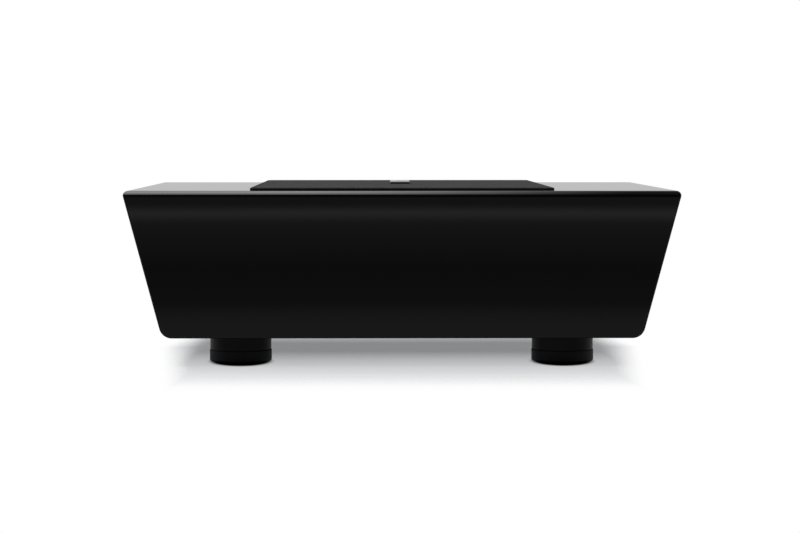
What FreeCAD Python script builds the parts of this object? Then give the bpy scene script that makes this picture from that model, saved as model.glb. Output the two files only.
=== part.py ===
import FreeCAD, Part
import math
import os
from FreeCAD import Vector

# Low, wide wireless subwoofer with an up-firing woofer under a lift-off cloth grille.
# Millimetres. Origin on the floor under the middle of the cabinet, +Z up, front face towards -Y,
# +X to the right of someone who looks at the front. Every piece is modelled where it sits.

# Cabinet
TOP_WIDTH = 393.0            # between the sharp top corners, before they are rounded
SIDE_LEAN = 15.0             # degrees by which each side leans outwards
BODY_HEIGHT = 103.5
BODY_DEPTH = 300.0
WALL = 12.0
BAFFLE_THICK = 18.0
BOTTOM_CORNER_R = 9.0
TOP_CORNER_R = 3.2
TOP_EDGE_R = 4.5             # front and rear edges of the top face
FACE_EDGE_R = 1.0            # side and bottom edges of the front and rear faces
BRACE_THICK = 12.0
BRACE_RING_ROOM = 11.5       # from the woofer's backing ring to the brace
BRACE_PORT_ROOM = 25.0       # from the brace's end to the port's tube
BRACE_FRAME = 15.0           # solid margin round the brace's window
BRACE_WINDOW_R = 10.0
WADDING_THICK = 16.0
WADDING_ROOM = 4.0

# Feet
FOOT_R = 22.0
FOOT_BODY_HEIGHT = 11.4
FOOT_PAD_HEIGHT = 8.6
FOOT_PAD_LIP = 0.3           # the pad is this much wider than the body above it
FOOT_PAD_ROUNDING = 1.6
FOOT_GROOVE = 0.8            # shadow groove where body and pad meet
FOOT_SIDE_INSET = 52.8       # foot centre from the bottom corner of the side
FOOT_FACE_INSET = 44.5       # foot centre from the front or rear face
FOOT_SCREW_R = 2.5
FOOT_SCREW_HEAD_R = 5.0
FOOT_SCREW_HEAD_HEIGHT = 3.0
FOOT_SCREW_GRIP = 10.0       # screw length inside the bottom wall
FOOT_SCREW_RECESS_R = 6.5
FOOT_SCREW_WEB = 2.5         # rubber left above the screw head

# Grille
GRILLE_COVER = 3.1           # how far the grille reaches past the woofer's well on each side
GRILLE_MARGIN = 9.0          # from the grille to the front and rear faces
GRILLE_HEIGHT = 2.0
GRILLE_CORNER_R = 4.0
CLOTH_THICK = 0.6
GRILLE_RIM = 8.5
GRILLE_RIB = 12.0
GRILLE_LIFT_GAP = 0.1        # cloth skirt above the top face
PEG_R = 3.0
PEG_LENGTH = 8.0
PEG_FIT = 0.06
PEG_SIDE_INSET = 9.5         # peg centre from the grille's side
PEG_END_INSET = 15.0         # peg centre from the grille's front and rear edge
SOCKET_WALL = 1.9
SOCKET_DEPTH = 10.0
BADGE_WIDTH = 15.5
BADGE_LENGTH = 15.0
BADGE_CORNER_R = 1.5
BADGE_BASE_THICK = 1.0
BADGE_PLATE_THICK = 1.5
BADGE_PLATE_INSET = 0.4
BADGE_EDGE_R = 0.4

# Woofer, rear side down, hung in a stepped well in the baffle
FRAME_R = 104.0
FRAME_THICK = 4.0
FRAME_EDGE_R = 1.0
FRAME_ROOM = 0.4
WELL_DEPTH = 8.0             # frame face below the top face
GASKET_THICK = 1.0
FRAME_LAND = 11.0            # width of the frame's flange on its ledge
BASKET_ROOM = 0.5
BASKET_WALL = 2.0
BACKING_WIDTH = 19.0
BACKING_THICK = 9.0
SCREW_INSET = 5.0            # screw circle inside the frame's edge
WOOFER_SCREWS = 8
WOOFER_SCREW_R = 2.0
WOOFER_SCREW_HEAD_R = 3.8
WOOFER_SCREW_HEAD_HEIGHT = 2.4
SCREW_HOLE_ROOM = 0.3
WOOFER_SCREW_GRIP = 12.0     # screw length below the frame's seat
SPOKES = 6
WINDOW_SHARE = 0.70          # part of each sixth of the basket that is open
WINDOW_R = 3.5
MAGNET_FLOOR_ROOM = 8.0
YOKE_THICK = 6.0
MAGNET_THICK = 20.0
POLE_PLATE_THICK = 6.0
MAGNET_R = 60.0
MAGNET_BORE_R = 30.0
PLATE_R = 56.0
POLE_R = 18.4
POLE_VENT_R = 6.0
FORMER_R = 19.0              # inside of the voice coil former
FORMER_THICK = 0.3
WINDING_THICK = 0.9
WINDING_LENGTH = 14.0
COIL_GAP = 0.8
BASKET_FLOOR = 3.0
BASKET_FLOOR_BORE_R = 25.0
BASKET_CUP_R = 52.0
BASKET_SHELF_R = 58.5
BASKET_WALL_FOOT = 0.62      # foot of the basket's wall, as a part of the way from shelf to frame
SPIDER_SHELF_RISE = 11.0     # spider shelf above the pole plate
SPIDER_THICK = 0.6
SPIDER_LAND = 5.0
SPIDER_ROLL_R = 2.2          # half the width of one corrugation
SPIDER_ROLL_RISE = 1.5
SPIDER_ROLLS = 5
CONE_NECK_RISE = 4.0         # cone neck above the spider
CONE_NECK_HEIGHT = 4.0
CONE_THICK = 1.2
CONE_BOW = 3.0               # how far the cone's side sags below a straight line
CONE_BOW_OUT = 1.5           # how far it moves outwards there
CONE_LIP_WIDTH = 3.8
SURROUND_THICK = 0.8
SURROUND_ROLL_R = 7.5
SURROUND_LAND = 5.0
SURROUND_WALL_ROOM = 1.0
DUST_CAP_R = 30.0
DUST_CAP_HEIGHT = 8.0
DUST_CAP_THICK = 0.8
STRIP_WIDTH = 18.0
STRIP_HEIGHT = 7.0
STRIP_THICK = 1.6
LEAD_R = 1.1
LEAD_PITCH = 8.0
LEAD_DROP = 14.0
LEAD_LEVEL_SHARE = 0.35      # part of the leads' run that is level at each end
LEAD_ARC_SHARE = 0.45        # part of a straight run that the arc at its end takes up

# Port
PORT_SIDE_ROOM = 37.8        # port axis from the foot of the side wall
PORT_BORE_R = 25.0
PORT_FLARE_R = 9.0
PORT_FLANGE_WIDTH = 4.0
PORT_FLANGE_THICK = 3.0
PORT_WALL = 2.0
PORT_SPIGOT = 19.0           # spigot length in front of the flange
PORT_TUBE_LENGTH = 93.0
PORT_OVERLAP = 10.0          # spigot length inside the tube

# Amplifier tray, dished into the rear wall
TRAY_SIDE_ROOM = 4.5         # from the foot of the left side wall to the tray's flange
TRAY_PORT_ROOM = 18.8        # from the tray's flange to the port's flange
TRAY_HEIGHT = 76.0
TRAY_FLANGE = 10.0
TRAY_FLANGE_THICK = 3.0
TRAY_DISH = 14.0             # floor of the dish below the rear face
TRAY_SKIN = 2.0
TRAY_CORNER_R = 6.0
TRAY_ROOM = 0.3
TRAY_SCREW_R = 1.6
TRAY_SCREW_HEAD_R = 3.0
TRAY_SCREW_LENGTH = 11.0
BOARD_THICK = 1.6
BOARD_STAND = 14.4           # board to the tray's floor
BOARD_SIDE_MARGIN = 4.0
BOARD_END_MARGIN = 3.0
BOARD_INLET_ROOM = 4.5       # board's right end from the mains inlet's body
POST_R = 3.0
POST_PIN_R = 1.4
POST_INSET = 4.5
PART_ROOM = 0.3

# Controls and sockets, spread along the tray's dish with equal gaps
PAIR_DROP = 7.0
LIGHT_RISE = 8.0
LINE_PITCH = 16.0

INLET_FLANGE_WIDTH = 31.0
INLET_FLANGE_HEIGHT = 24.0
INLET_FLANGE_THICK = 2.0
INLET_BODY_WIDTH = 27.0
INLET_BODY_HEIGHT = 19.6
INLET_BODY_DEPTH = 19.0
INLET_CAVITY_WIDTH = 24.4
INLET_CAVITY_HEIGHT = 16.6
INLET_CAVITY_DEPTH = 16.0
INLET_CHAMFER = 4.4
INLET_CAVITY_R = 1.5
PIN_PITCH = 7.0
PIN_WIDTH = 2.0
PIN_HEIGHT = 4.0
PIN_LENGTH = 14.0
PIN_EARTH_RISE = 2.0
PIN_TAB = 6.0

KNOB_R = 7.0
KNOB_TIP_R = 6.3
KNOB_HEIGHT = 10.8
KNOB_FLUTES = 16
KNOB_FLUTE_R = 0.7
KNOB_POINTER_WIDTH = 1.0
KNOB_EDGE_R = 0.5
BUSH_R = 4.5
BUSH_STAND = 2.0             # bush beyond the tray's floor
SPINDLE_R = 3.0
SPINDLE_FIT = 0.05
SPINDLE_DEPTH = 8.0
KNOB_ROOM = 0.5
POT_SIZE = 15.0
POT_DEPTH = 11.0
LEG_WIDTH = 1.0

ROCKER_LENGTH = 15.0
ROCKER_WIDTH = 10.6
ROCKER_RISE = 5.5
ROCKER_TILT = 8.0
ROCKER_SIDE_ROOM = 0.4
ROCKER_END_ROOM = 1.3
ROCKER_PIVOT_R = 1.2
ROCKER_PIVOT_FIT = 0.07
ROCKER_PIVOT_GRIP = 0.8
ROCKER_KEEL = 3.0
ROCKER_CORNER_R = 0.5
HOUSING_WALL = 1.2
HOUSING_DEPTH = 13.0
HOUSING_LIP = 1.4
HOUSING_LIP_THICK = 1.5

PHASE_TRAVEL = 4.0
SLIDER_STEM = 3.0
SLIDER_STAND = 3.0
SLIDER_FOOT = 5.0
SLIDER_FOOT_THICK = 2.0
SLIDER_ROOM = 0.35
PHASE_BODY_WIDTH = 16.0
PHASE_BODY_HEIGHT = 9.0
SWITCH_DEPTH = 9.0

BUTTON_R = 3.0
BUTTON_TRAVEL = 0.8
BUTTON_STAND = 2.0
BUTTON_ROOM = 0.3
PLUNGER_R = 1.5
PLUNGER_FIT = 0.06
PLUNGER_LENGTH = 4.0
PAIR_BODY_SIZE = 9.0
LIGHT_R = 1.5
LIGHT_STAND = 1.0
LIGHT_DOME_R = 0.9

LINE_BARREL_R = 4.15
LINE_BARREL_LENGTH = 9.0
LINE_BORE_R = 3.3
LINE_CONTACT_R = 1.6
LINE_WASHER_R = 5.6
LINE_WASHER_THICK = 1.5
LINE_ROOT_R = 4.7
LINE_BLOCK_WIDTH = 33.0
LINE_BLOCK_HEIGHT = 18.0
LINE_BLOCK_DEPTH = 12.0

HEATSINK_WIDTH = 54.0
HEATSINK_HEIGHT = 22.0
HEATSINK_DEPTH = 20.0
HEATSINK_BASE = 4.0
HEATSINK_FINS = 9
HEATSINK_FIN_THICK = 1.6
CAN_R = 8.0
CAN_LENGTH = 20.0
CAN_PITCH = 20.0
CORE_WIDTH = 26.0
CORE_HEIGHT = 24.0
CORE_DEPTH = 18.0
CORE_LIMB = 5.0
MODULE_WIDTH = 24.0
MODULE_HEIGHT = 30.0
MODULE_HEADER = 3.0
MODULE_CAN_HEIGHT = 2.4

TOUCH = 1e-6
NEARLY_TOUCHING = 1e-4     # within this, the top corner's two roundings share one edge
SHARP = 0.0
ORIGIN = Vector(0, 0, 0)
X_AXIS = Vector(1, 0, 0)
Y_AXIS = Vector(0, 1, 0)
Z_AXIS = Vector(0, 0, 1)

# Levels and places that follow from the values above
BODY_BOTTOM = FOOT_PAD_HEIGHT + FOOT_BODY_HEIGHT
BODY_TOP = BODY_BOTTOM + BODY_HEIGHT
LEAN_RUN = math.tan(math.radians(SIDE_LEAN))
WALL_ACROSS = WALL / math.cos(math.radians(SIDE_LEAN))
HALF_DEPTH = BODY_DEPTH / 2
INNER_HALF_DEPTH = HALF_DEPTH - WALL
FLOOR_TOP = BODY_BOTTOM + WALL
BAFFLE_BOTTOM = BODY_TOP - BAFFLE_THICK
CHAMBER_MIDDLE = (FLOOR_TOP + BAFFLE_BOTTOM) / 2


def side_at(z):
    """Half the cabinet's width at a height, from its leaning sides."""
    return TOP_WIDTH / 2 - (BODY_TOP - z) * LEAN_RUN


def inner_side_at(z):
    """Half the width between the side walls at a height."""
    return side_at(z) - WALL_ACROSS


FOOT_X = side_at(BODY_BOTTOM) - FOOT_SIDE_INSET
FOOT_Y = HALF_DEPTH - FOOT_FACE_INSET
GRILLE_HALF_WIDTH = FRAME_R + FRAME_ROOM + GRILLE_COVER
GRILLE_HALF_LENGTH = HALF_DEPTH - GRILLE_MARGIN
GRILLE_TOP = BODY_TOP + GRILLE_HEIGHT
PEG_X = GRILLE_HALF_WIDTH - PEG_SIDE_INSET
PEG_Y = GRILLE_HALF_LENGTH - PEG_END_INSET

FRAME_TOP = BODY_TOP - WELL_DEPTH
FRAME_SEAT = FRAME_TOP - FRAME_THICK
CUTOUT_R = FRAME_R - FRAME_LAND
SCREW_CIRCLE_R = FRAME_R - SCREW_INSET
LEDGE_TOP = FRAME_SEAT - GASKET_THICK
BACKING_BOTTOM = BAFFLE_BOTTOM - BACKING_THICK
BASKET_OUTER_R = CUTOUT_R - BASKET_ROOM
BASKET_INNER_R = BASKET_OUTER_R - BASKET_WALL
YOKE_BOTTOM = FLOOR_TOP + MAGNET_FLOOR_ROOM
YOKE_TOP = YOKE_BOTTOM + YOKE_THICK
MAGNET_TOP = YOKE_TOP + MAGNET_THICK
POLE_PLATE_TOP = MAGNET_TOP + POLE_PLATE_THICK
SPIDER_SEAT = POLE_PLATE_TOP + SPIDER_SHELF_RISE
FORMER_OUTER_R = FORMER_R + FORMER_THICK
WINDING_R = FORMER_OUTER_R + WINDING_THICK
WINDING_MIDDLE = POLE_PLATE_TOP - POLE_PLATE_THICK / 2
NECK_BOTTOM = SPIDER_SEAT + CONE_NECK_RISE
NECK_TOP = NECK_BOTTOM + CONE_NECK_HEIGHT
ROLL_OUTER_R = BASKET_INNER_R - SURROUND_WALL_ROOM
ROLL_INNER_R = ROLL_OUTER_R - 2 * SURROUND_ROLL_R
LIP_INNER_R = ROLL_INNER_R - CONE_LIP_WIDTH

PORT_X = inner_side_at(FLOOR_TOP) - PORT_SIDE_ROOM
PORT_FLANGE_R = PORT_BORE_R + PORT_FLARE_R + PORT_FLANGE_WIDTH
PORT_SPIGOT_END = PORT_FLANGE_THICK + PORT_SPIGOT
TUBE_FRONT = HALF_DEPTH - PORT_SPIGOT_END + PORT_OVERLAP - PORT_TUBE_LENGTH
BRACE_X = CUTOUT_R + BACKING_WIDTH + BRACE_RING_ROOM
BRACE_END = TUBE_FRONT - BRACE_PORT_ROOM

TRAY_LEFT = TRAY_SIDE_ROOM - inner_side_at(FLOOR_TOP)
TRAY_RIGHT = PORT_X - PORT_FLANGE_R - TRAY_PORT_ROOM
TRAY_WIDTH = TRAY_RIGHT - TRAY_LEFT
TRAY_MIDDLE = (TRAY_LEFT + TRAY_RIGHT) / 2
DISH_LEFT = TRAY_LEFT + TRAY_FLANGE
DISH_RIGHT = TRAY_RIGHT - TRAY_FLANGE
HOUSING_WIDTH = ROCKER_WIDTH + 2 * ROCKER_SIDE_ROOM + 2 * HOUSING_WALL
HOUSING_LENGTH = ROCKER_LENGTH + 2 * ROCKER_END_ROOM + 2 * HOUSING_WALL
TRAY_FLOOR = HALF_DEPTH - TRAY_DISH
TRAY_BACK = TRAY_FLOOR - TRAY_SKIN
BOARD_FACE = TRAY_BACK - BOARD_STAND
BOARD_FRONT = BOARD_FACE - BOARD_THICK


def spread(widths, start, end):
    """Centres of things of these widths, laid from start to end with equal gaps."""
    gap = (end - start - sum(widths)) / (len(widths) + 1)
    centres = []
    for width in widths:
        start += gap
        centres.append(start + width / 2)
        start += width
    return centres


LINE_X, PAIR_X, PHASE_X, CROSSOVER_X, LEVEL_X, ROCKER_X, INLET_X = spread(
    [LINE_BLOCK_WIDTH, PAIR_BODY_SIZE, PHASE_BODY_WIDTH, POT_SIZE, POT_SIZE,
     HOUSING_WIDTH + 2 * HOUSING_LIP, INLET_FLANGE_WIDTH],
    DISH_LEFT + TRAY_SKIN, DISH_RIGHT - TRAY_SKIN)
BOARD_LEFT = DISH_LEFT + BOARD_SIDE_MARGIN
BOARD_RIGHT = INLET_X - INLET_BODY_WIDTH / 2 - BOARD_INLET_ROOM


def box(x0, x1, y0, y1, z0, z1):
    """Solid box between two opposite corners."""
    return Part.makeBox(x1 - x0, y1 - y0, z1 - z0, Vector(x0, y0, z0))


def centred_box(x, z, width, height, y0, y1):
    """Solid box round a line along Y through (x, z)."""
    return box(x - width / 2, x + width / 2, y0, y1, z - height / 2, z + height / 2)


def rod(radius, start, axis, length):
    """Solid cylinder."""
    return Part.makeCylinder(radius, length, start, axis)


def outline(corners, place):
    """Closed wire through (a, b, rounding) corners, each rounding a tangent arc, mapped by place(a, b)."""
    marks = []
    for index, (a, b, rounding) in enumerate(corners):
        here = place(a, b)
        if rounding == SHARP:
            marks.append((here,))
            continue
        behind = (place(*corners[index - 1][:2]) - here).normalize()
        ahead = (place(*corners[(index + 1) % len(corners)][:2]) - here).normalize()
        half_angle = behind.getAngle(ahead) / 2
        inwards = (behind + ahead).normalize()
        run = rounding / math.tan(half_angle)
        sag = rounding / math.sin(half_angle) - rounding
        marks.append((here + behind * run, here + inwards * sag, here + ahead * run))
    edges = []
    for mark, following in zip(marks, marks[1:] + marks[:1]):
        if len(mark) == 3:
            edges.append(Part.Arc(*mark).toShape())
        if (following[0] - mark[-1]).Length > TOUCH:
            edges.append(Part.LineSegment(mark[-1], following[0]).toShape())
    return Part.Wire(edges)


def turned(corners, centre, axis):
    """Solid of revolution from (radius, height, rounding) corners about an axis through centre."""
    wire = outline(corners, lambda radius, height: centre + X_AXIS * radius + axis * height)
    return Part.Face(wire).revolve(centre, axis, 360)


def ring(inner, outer, bottom, top):
    """Flat ring about the woofer's axis."""
    corners = [(inner, bottom, SHARP), (outer, bottom, SHARP), (outer, top, SHARP), (inner, top, SHARP)]
    return turned(corners, ORIGIN, Z_AXIS)


def straights(points):
    """Straight edges that join the points in order."""
    return [Part.LineSegment(start, end).toShape() for start, end in zip(points, points[1:])]


def revolved(edges, centre, axis):
    """Solid of revolution of the area inside a closed run of edges."""
    return Part.Face(Part.Wire(edges)).revolve(centre, axis, 360)


def rounded_block(x, z, width, height, y0, y1, rounding):
    """Block along Y with rounded corners."""
    a, b = width / 2, height / 2
    corners = [(-a, -b, rounding), (a, -b, rounding), (a, b, rounding), (-a, b, rounding)]
    wire = outline(corners, lambda across, up: Vector(x + across, y0, z + up))
    return Part.Face(wire).extrude(Vector(0, y1 - y0, 0))


def rounded_slab(half_x, half_y, z0, z1, rounding):
    """Slab lying flat with rounded corners."""
    corners = [(-half_x, -half_y, rounding), (half_x, -half_y, rounding)]
    corners += [(half_x, half_y, rounding), (-half_x, half_y, rounding)]
    wire = outline(corners, lambda a, b: Vector(a, b, z0))
    return Part.Face(wire).extrude(Vector(0, 0, z1 - z0))


def around(count, radius, offset=0.0):
    """Points on a circle about the woofer's axis."""
    for index in range(count):
        angle = math.radians(offset + index * 360 / count)
        yield Vector(radius * math.cos(angle), radius * math.sin(angle), 0)


def at_height(point, z):
    """The same point in plan at another height."""
    return Vector(point.x, point.y, z)


def save(name, *solids):
    """Check each solid and write the node's file."""
    checked = []
    for solid in solids:
        for piece in solid.Solids:
            if piece.Volume < 0:
                piece.reverse()
            assert piece.isValid(), name
            checked.append(piece)
    shape = checked[0] if len(checked) == 1 else Part.makeCompound(checked)
    shape.exportStep(os.path.join("parts", name + ".step"))
    print(name, len(checked), "solid(s)", round(sum(piece.Volume for piece in checked)), "mm3")


def foot_places():
    """Name and centre of each foot."""
    for side, x in (("left", -FOOT_X), ("right", FOOT_X)):
        for end, y in (("front", -FOOT_Y), ("rear", FOOT_Y)):
            yield end + "_" + side, Vector(x, y, 0)


def peg_places():
    """Centre of each grille peg."""
    for x in (-PEG_X, PEG_X):
        for y in (-PEG_Y, PEG_Y):
            yield Vector(x, y, 0)


def screw_circle():
    """Points on the woofer's screw circle, none of them on the X or Y axis."""
    return around(WOOFER_SCREWS, SCREW_CIRCLE_R, 180 / WOOFER_SCREWS)


def with_legs(body, steps, centre, pitch, back):
    """The body with solder legs from its back to the circuit board."""
    for step in steps:
        leg_x = centre.x + step * pitch
        body = body.fuse(centred_box(leg_x, centre.z, LEG_WIDTH, LEG_WIDTH, BOARD_FACE, back))
    return body


def leaning_prism(z0, z1, half_at, y0, y1, low_rounding, high_rounding):
    """Prism along Y whose sides lean like the cabinet's."""
    corners = [(-half_at(z0), z0, low_rounding), (half_at(z0), z0, low_rounding)]
    corners += [(half_at(z1), z1, high_rounding), (-half_at(z1), z1, high_rounding)]
    wire = outline(corners, lambda a, b: Vector(a, y0, b))
    return Part.Face(wire).extrude(Vector(0, y1 - y0, 0))


def cabinet_body():
    """Outside of the cabinet: leaning sides, round bottom corners, softened top and face edges."""
    body = leaning_prism(BODY_BOTTOM, BODY_TOP, side_at, -HALF_DEPTH, HALF_DEPTH,
                         BOTTOM_CORNER_R, TOP_CORNER_R)
    side_view = [(-HALF_DEPTH, BODY_BOTTOM, SHARP), (HALF_DEPTH, BODY_BOTTOM, SHARP)]
    side_view += [(HALF_DEPTH, BODY_TOP, TOP_EDGE_R), (-HALF_DEPTH, BODY_TOP, TOP_EDGE_R)]
    wire = outline(side_view, lambda a, b: Vector(-TOP_WIDTH, a, b))
    rounded = Part.Face(wire).extrude(Vector(2 * TOP_WIDTH, 0, 0))
    body = body.common([rounded], NEARLY_TOUCHING)
    face_edges = []
    for edge in body.Edges:
        on_face = all(abs(abs(vertex.Y) - HALF_DEPTH) < TOUCH for vertex in edge.Vertexes)
        along_y = abs(edge.Vertexes[0].Y - edge.Vertexes[-1].Y) > TOUCH
        lowest = min(vertex.Z for vertex in edge.Vertexes)
        if on_face and not along_y and lowest < BODY_TOP - TOP_EDGE_R - TOUCH:
            face_edges.append(edge)
    return body.makeFillet(FACE_EDGE_R, face_edges)


def cabinet_shell():
    """Front, rear, side and bottom walls, with the rear wall's cut-outs."""
    shell = cabinet_body()
    shell = shell.cut(leaning_prism(FLOOR_TOP, BODY_TOP + WALL, inner_side_at,
                                    -INNER_HALF_DEPTH, INNER_HALF_DEPTH, SHARP, SHARP))
    cuts = []
    for flange, y0 in ((0, HALF_DEPTH - TRAY_FLANGE_THICK), (TRAY_FLANGE, INNER_HALF_DEPTH - WALL)):
        cuts.append(rounded_block(TRAY_MIDDLE, CHAMBER_MIDDLE, TRAY_WIDTH - 2 * flange + 2 * TRAY_ROOM,
                                  TRAY_HEIGHT - 2 * flange + 2 * TRAY_ROOM, y0, HALF_DEPTH + WALL,
                                  TRAY_CORNER_R + TRAY_ROOM))
    for place in tray_screw_places():
        cuts.append(rod(TRAY_SCREW_R, place, -Y_AXIS, TRAY_SCREW_LENGTH))
    port_seat = Vector(PORT_X, HALF_DEPTH, CHAMBER_MIDDLE)
    cuts.append(rod(PORT_FLANGE_R + TRAY_ROOM, port_seat, -Y_AXIS, PORT_FLANGE_THICK))
    cuts.append(rod(PORT_BORE_R + PORT_WALL + TRAY_ROOM, port_seat, -Y_AXIS, 2 * WALL))
    for name, place in foot_places():
        cuts.append(rod(FOOT_SCREW_R, at_height(place, BODY_BOTTOM), Z_AXIS, FOOT_SCREW_GRIP))
    for cut in cuts:
        shell = shell.cut(cut)
    save("cabinet_shell", shell)


def top_baffle():
    """Top panel glued between the walls, with the woofer's stepped well and the grille's sockets."""
    baffle = leaning_prism(BAFFLE_BOTTOM, BODY_TOP, inner_side_at,
                           -INNER_HALF_DEPTH, INNER_HALF_DEPTH, SHARP, SHARP)
    baffle = baffle.cut(rod(FRAME_R + FRAME_ROOM, at_height(ORIGIN, LEDGE_TOP), Z_AXIS, BAFFLE_THICK))
    baffle = baffle.cut(rod(CUTOUT_R, at_height(ORIGIN, BAFFLE_BOTTOM), Z_AXIS, BAFFLE_THICK))
    for place in screw_circle():
        baffle = baffle.cut(rod(WOOFER_SCREW_R, at_height(place, BAFFLE_BOTTOM), Z_AXIS, BAFFLE_THICK))
    for place in peg_places():
        depth = at_height(place, BODY_TOP - SOCKET_DEPTH)
        baffle = baffle.cut(rod(PEG_R + PEG_FIT + SOCKET_WALL, depth, Z_AXIS, SOCKET_DEPTH))
    save("top_baffle", baffle)


def woofer_backing_ring():
    """Ring glued under the baffle that gives the woofer's screws their grip."""
    backing = ring(CUTOUT_R, CUTOUT_R + BACKING_WIDTH, BACKING_BOTTOM, BAFFLE_BOTTOM)
    screw_end = FRAME_SEAT - WOOFER_SCREW_GRIP
    for place in screw_circle():
        backing = backing.cut(rod(WOOFER_SCREW_R, at_height(place, screw_end), Z_AXIS, WOOFER_SCREW_GRIP))
    save("woofer_backing_ring", backing)


def cabinet_braces():
    """Two upright panels with rounded windows between the bottom and the baffle."""
    braces = []
    middle_y = (BRACE_END - INNER_HALF_DEPTH) / 2
    a = BRACE_END - middle_y - BRACE_FRAME
    b = BAFFLE_BOTTOM - CHAMBER_MIDDLE - BRACE_FRAME
    corners = [(u, v, BRACE_WINDOW_R) for u, v in ((-a, -b), (a, -b), (a, b), (-a, b))]
    for x in (-BRACE_X - BRACE_THICK, BRACE_X):
        panel = box(x, x + BRACE_THICK, -INNER_HALF_DEPTH, BRACE_END, FLOOR_TOP, BAFFLE_BOTTOM)
        wire = outline(corners, lambda u, v: Vector(x, middle_y + u, CHAMBER_MIDDLE + v))
        braces.append(panel.cut(Part.Face(wire).extrude(Vector(BRACE_THICK, 0, 0))))
    save("cabinet_braces", *braces)


def damping_wadding():
    """Soft pad against the front wall between the braces."""
    save("damping_wadding", box(-BRACE_X + WADDING_ROOM, BRACE_X - WADDING_ROOM, -INNER_HALF_DEPTH,
                                -INNER_HALF_DEPTH + WADDING_THICK, FLOOR_TOP, BACKING_BOTTOM - PART_ROOM))


def feet():
    """Four feet, each a moulded body, a rubber pad and a screw up into the bottom wall."""
    head_top = FOOT_PAD_HEIGHT - FOOT_SCREW_WEB
    head_bottom = head_top - FOOT_SCREW_HEAD_HEIGHT
    hole_r = FOOT_SCREW_R + SCREW_HOLE_ROOM
    screws = []
    for name, place in foot_places():
        body = turned([(hole_r, FOOT_PAD_HEIGHT, SHARP), (FOOT_R - FOOT_GROOVE, FOOT_PAD_HEIGHT, SHARP),
                       (FOOT_R - FOOT_GROOVE, FOOT_PAD_HEIGHT + FOOT_GROOVE, SHARP),
                       (FOOT_R, FOOT_PAD_HEIGHT + FOOT_GROOVE, SHARP), (FOOT_R, BODY_BOTTOM, SHARP),
                       (hole_r, BODY_BOTTOM, SHARP)], place, Z_AXIS)
        save("foot_body_" + name, body)
        pad_r = FOOT_R + FOOT_PAD_LIP
        pad = turned([(FOOT_SCREW_RECESS_R, 0, SHARP), (pad_r, 0, FOOT_PAD_ROUNDING),
                      (pad_r, FOOT_PAD_HEIGHT, FOOT_GROOVE / 2), (hole_r, FOOT_PAD_HEIGHT, SHARP),
                      (hole_r, head_top, SHARP), (FOOT_SCREW_RECESS_R, head_top, SHARP)], place, Z_AXIS)
        save("foot_pad_" + name, pad)
        head = turned([(0, head_bottom, SHARP), (FOOT_SCREW_HEAD_R, head_bottom, FOOT_SCREW_HEAD_HEIGHT / 3),
                       (FOOT_SCREW_HEAD_R, head_top, SHARP), (FOOT_SCREW_R, head_top, SHARP),
                       (FOOT_SCREW_R, BODY_BOTTOM + FOOT_SCREW_GRIP, SHARP),
                       (0, BODY_BOTTOM + FOOT_SCREW_GRIP, SHARP)], place, Z_AXIS)
        screws.append(head)
    save("foot_screws", *screws)


def grille_sockets():
    """Cups pressed into the baffle that take the grille's pegs."""
    cups = []
    bore = PEG_R + PEG_FIT
    outer = bore + SOCKET_WALL
    bottom = BODY_TOP - SOCKET_DEPTH
    floor = (bottom + BODY_TOP - PEG_LENGTH) / 2
    for place in peg_places():
        cups.append(turned([(0, bottom, SHARP), (outer, bottom, SHARP), (outer, BODY_TOP, SHARP),
                            (bore, BODY_TOP, SHARP), (bore, floor, SHARP), (0, floor, SHARP)], place, Z_AXIS))
    save("grille_sockets", *cups)


def grille():
    """Lift-off grille: frame with a cross of ribs, pegs, stretched cloth and a bare two-layer badge."""
    frame_top = GRILLE_TOP - CLOTH_THICK
    frame_x = GRILLE_HALF_WIDTH - CLOTH_THICK
    frame_y = GRILLE_HALF_LENGTH - CLOTH_THICK
    corner = GRILLE_CORNER_R - CLOTH_THICK
    frame = rounded_slab(frame_x, frame_y, BODY_TOP, frame_top, corner)
    opening = rounded_slab(frame_x - GRILLE_RIM, frame_y - GRILLE_RIM, BODY_TOP, frame_top, corner)
    cross = box(-GRILLE_RIB / 2, GRILLE_RIB / 2, -frame_y, frame_y, BODY_TOP, frame_top)
    cross = cross.fuse(box(-frame_x, frame_x, -GRILLE_RIB / 2, GRILLE_RIB / 2, BODY_TOP, frame_top))
    save("grille_frame", frame.cut(opening.cut(cross)).removeSplitter())
    tip = PEG_R / 3
    pegs = [turned([(0, BODY_TOP - PEG_LENGTH, SHARP), (PEG_R, BODY_TOP - PEG_LENGTH, tip),
                    (PEG_R, BODY_TOP, SHARP), (0, BODY_TOP, SHARP)], place, Z_AXIS)
            for place in peg_places()]
    save("grille_pegs", *pegs)
    cloth = rounded_slab(GRILLE_HALF_WIDTH, GRILLE_HALF_LENGTH, BODY_TOP + GRILLE_LIFT_GAP, GRILLE_TOP,
                         GRILLE_CORNER_R)
    save("grille_cloth", cloth.cut(rounded_slab(frame_x, frame_y, BODY_TOP, frame_top, corner)))
    base_top = GRILLE_TOP + BADGE_BASE_THICK
    base = rounded_slab(BADGE_WIDTH / 2, BADGE_LENGTH / 2, GRILLE_TOP, base_top, BADGE_CORNER_R)
    save("badge_base", base)
    plate = rounded_slab(BADGE_WIDTH / 2 - BADGE_PLATE_INSET, BADGE_LENGTH / 2 - BADGE_PLATE_INSET,
                         base_top, base_top + BADGE_PLATE_THICK, BADGE_CORNER_R - BADGE_PLATE_INSET)
    rim = [edge for edge in plate.Edges
           if all(abs(vertex.Z - base_top - BADGE_PLATE_THICK) < TOUCH for vertex in edge.Vertexes)]
    save("badge_plate", plate.makeFillet(BADGE_EDGE_R, rim))


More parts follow.
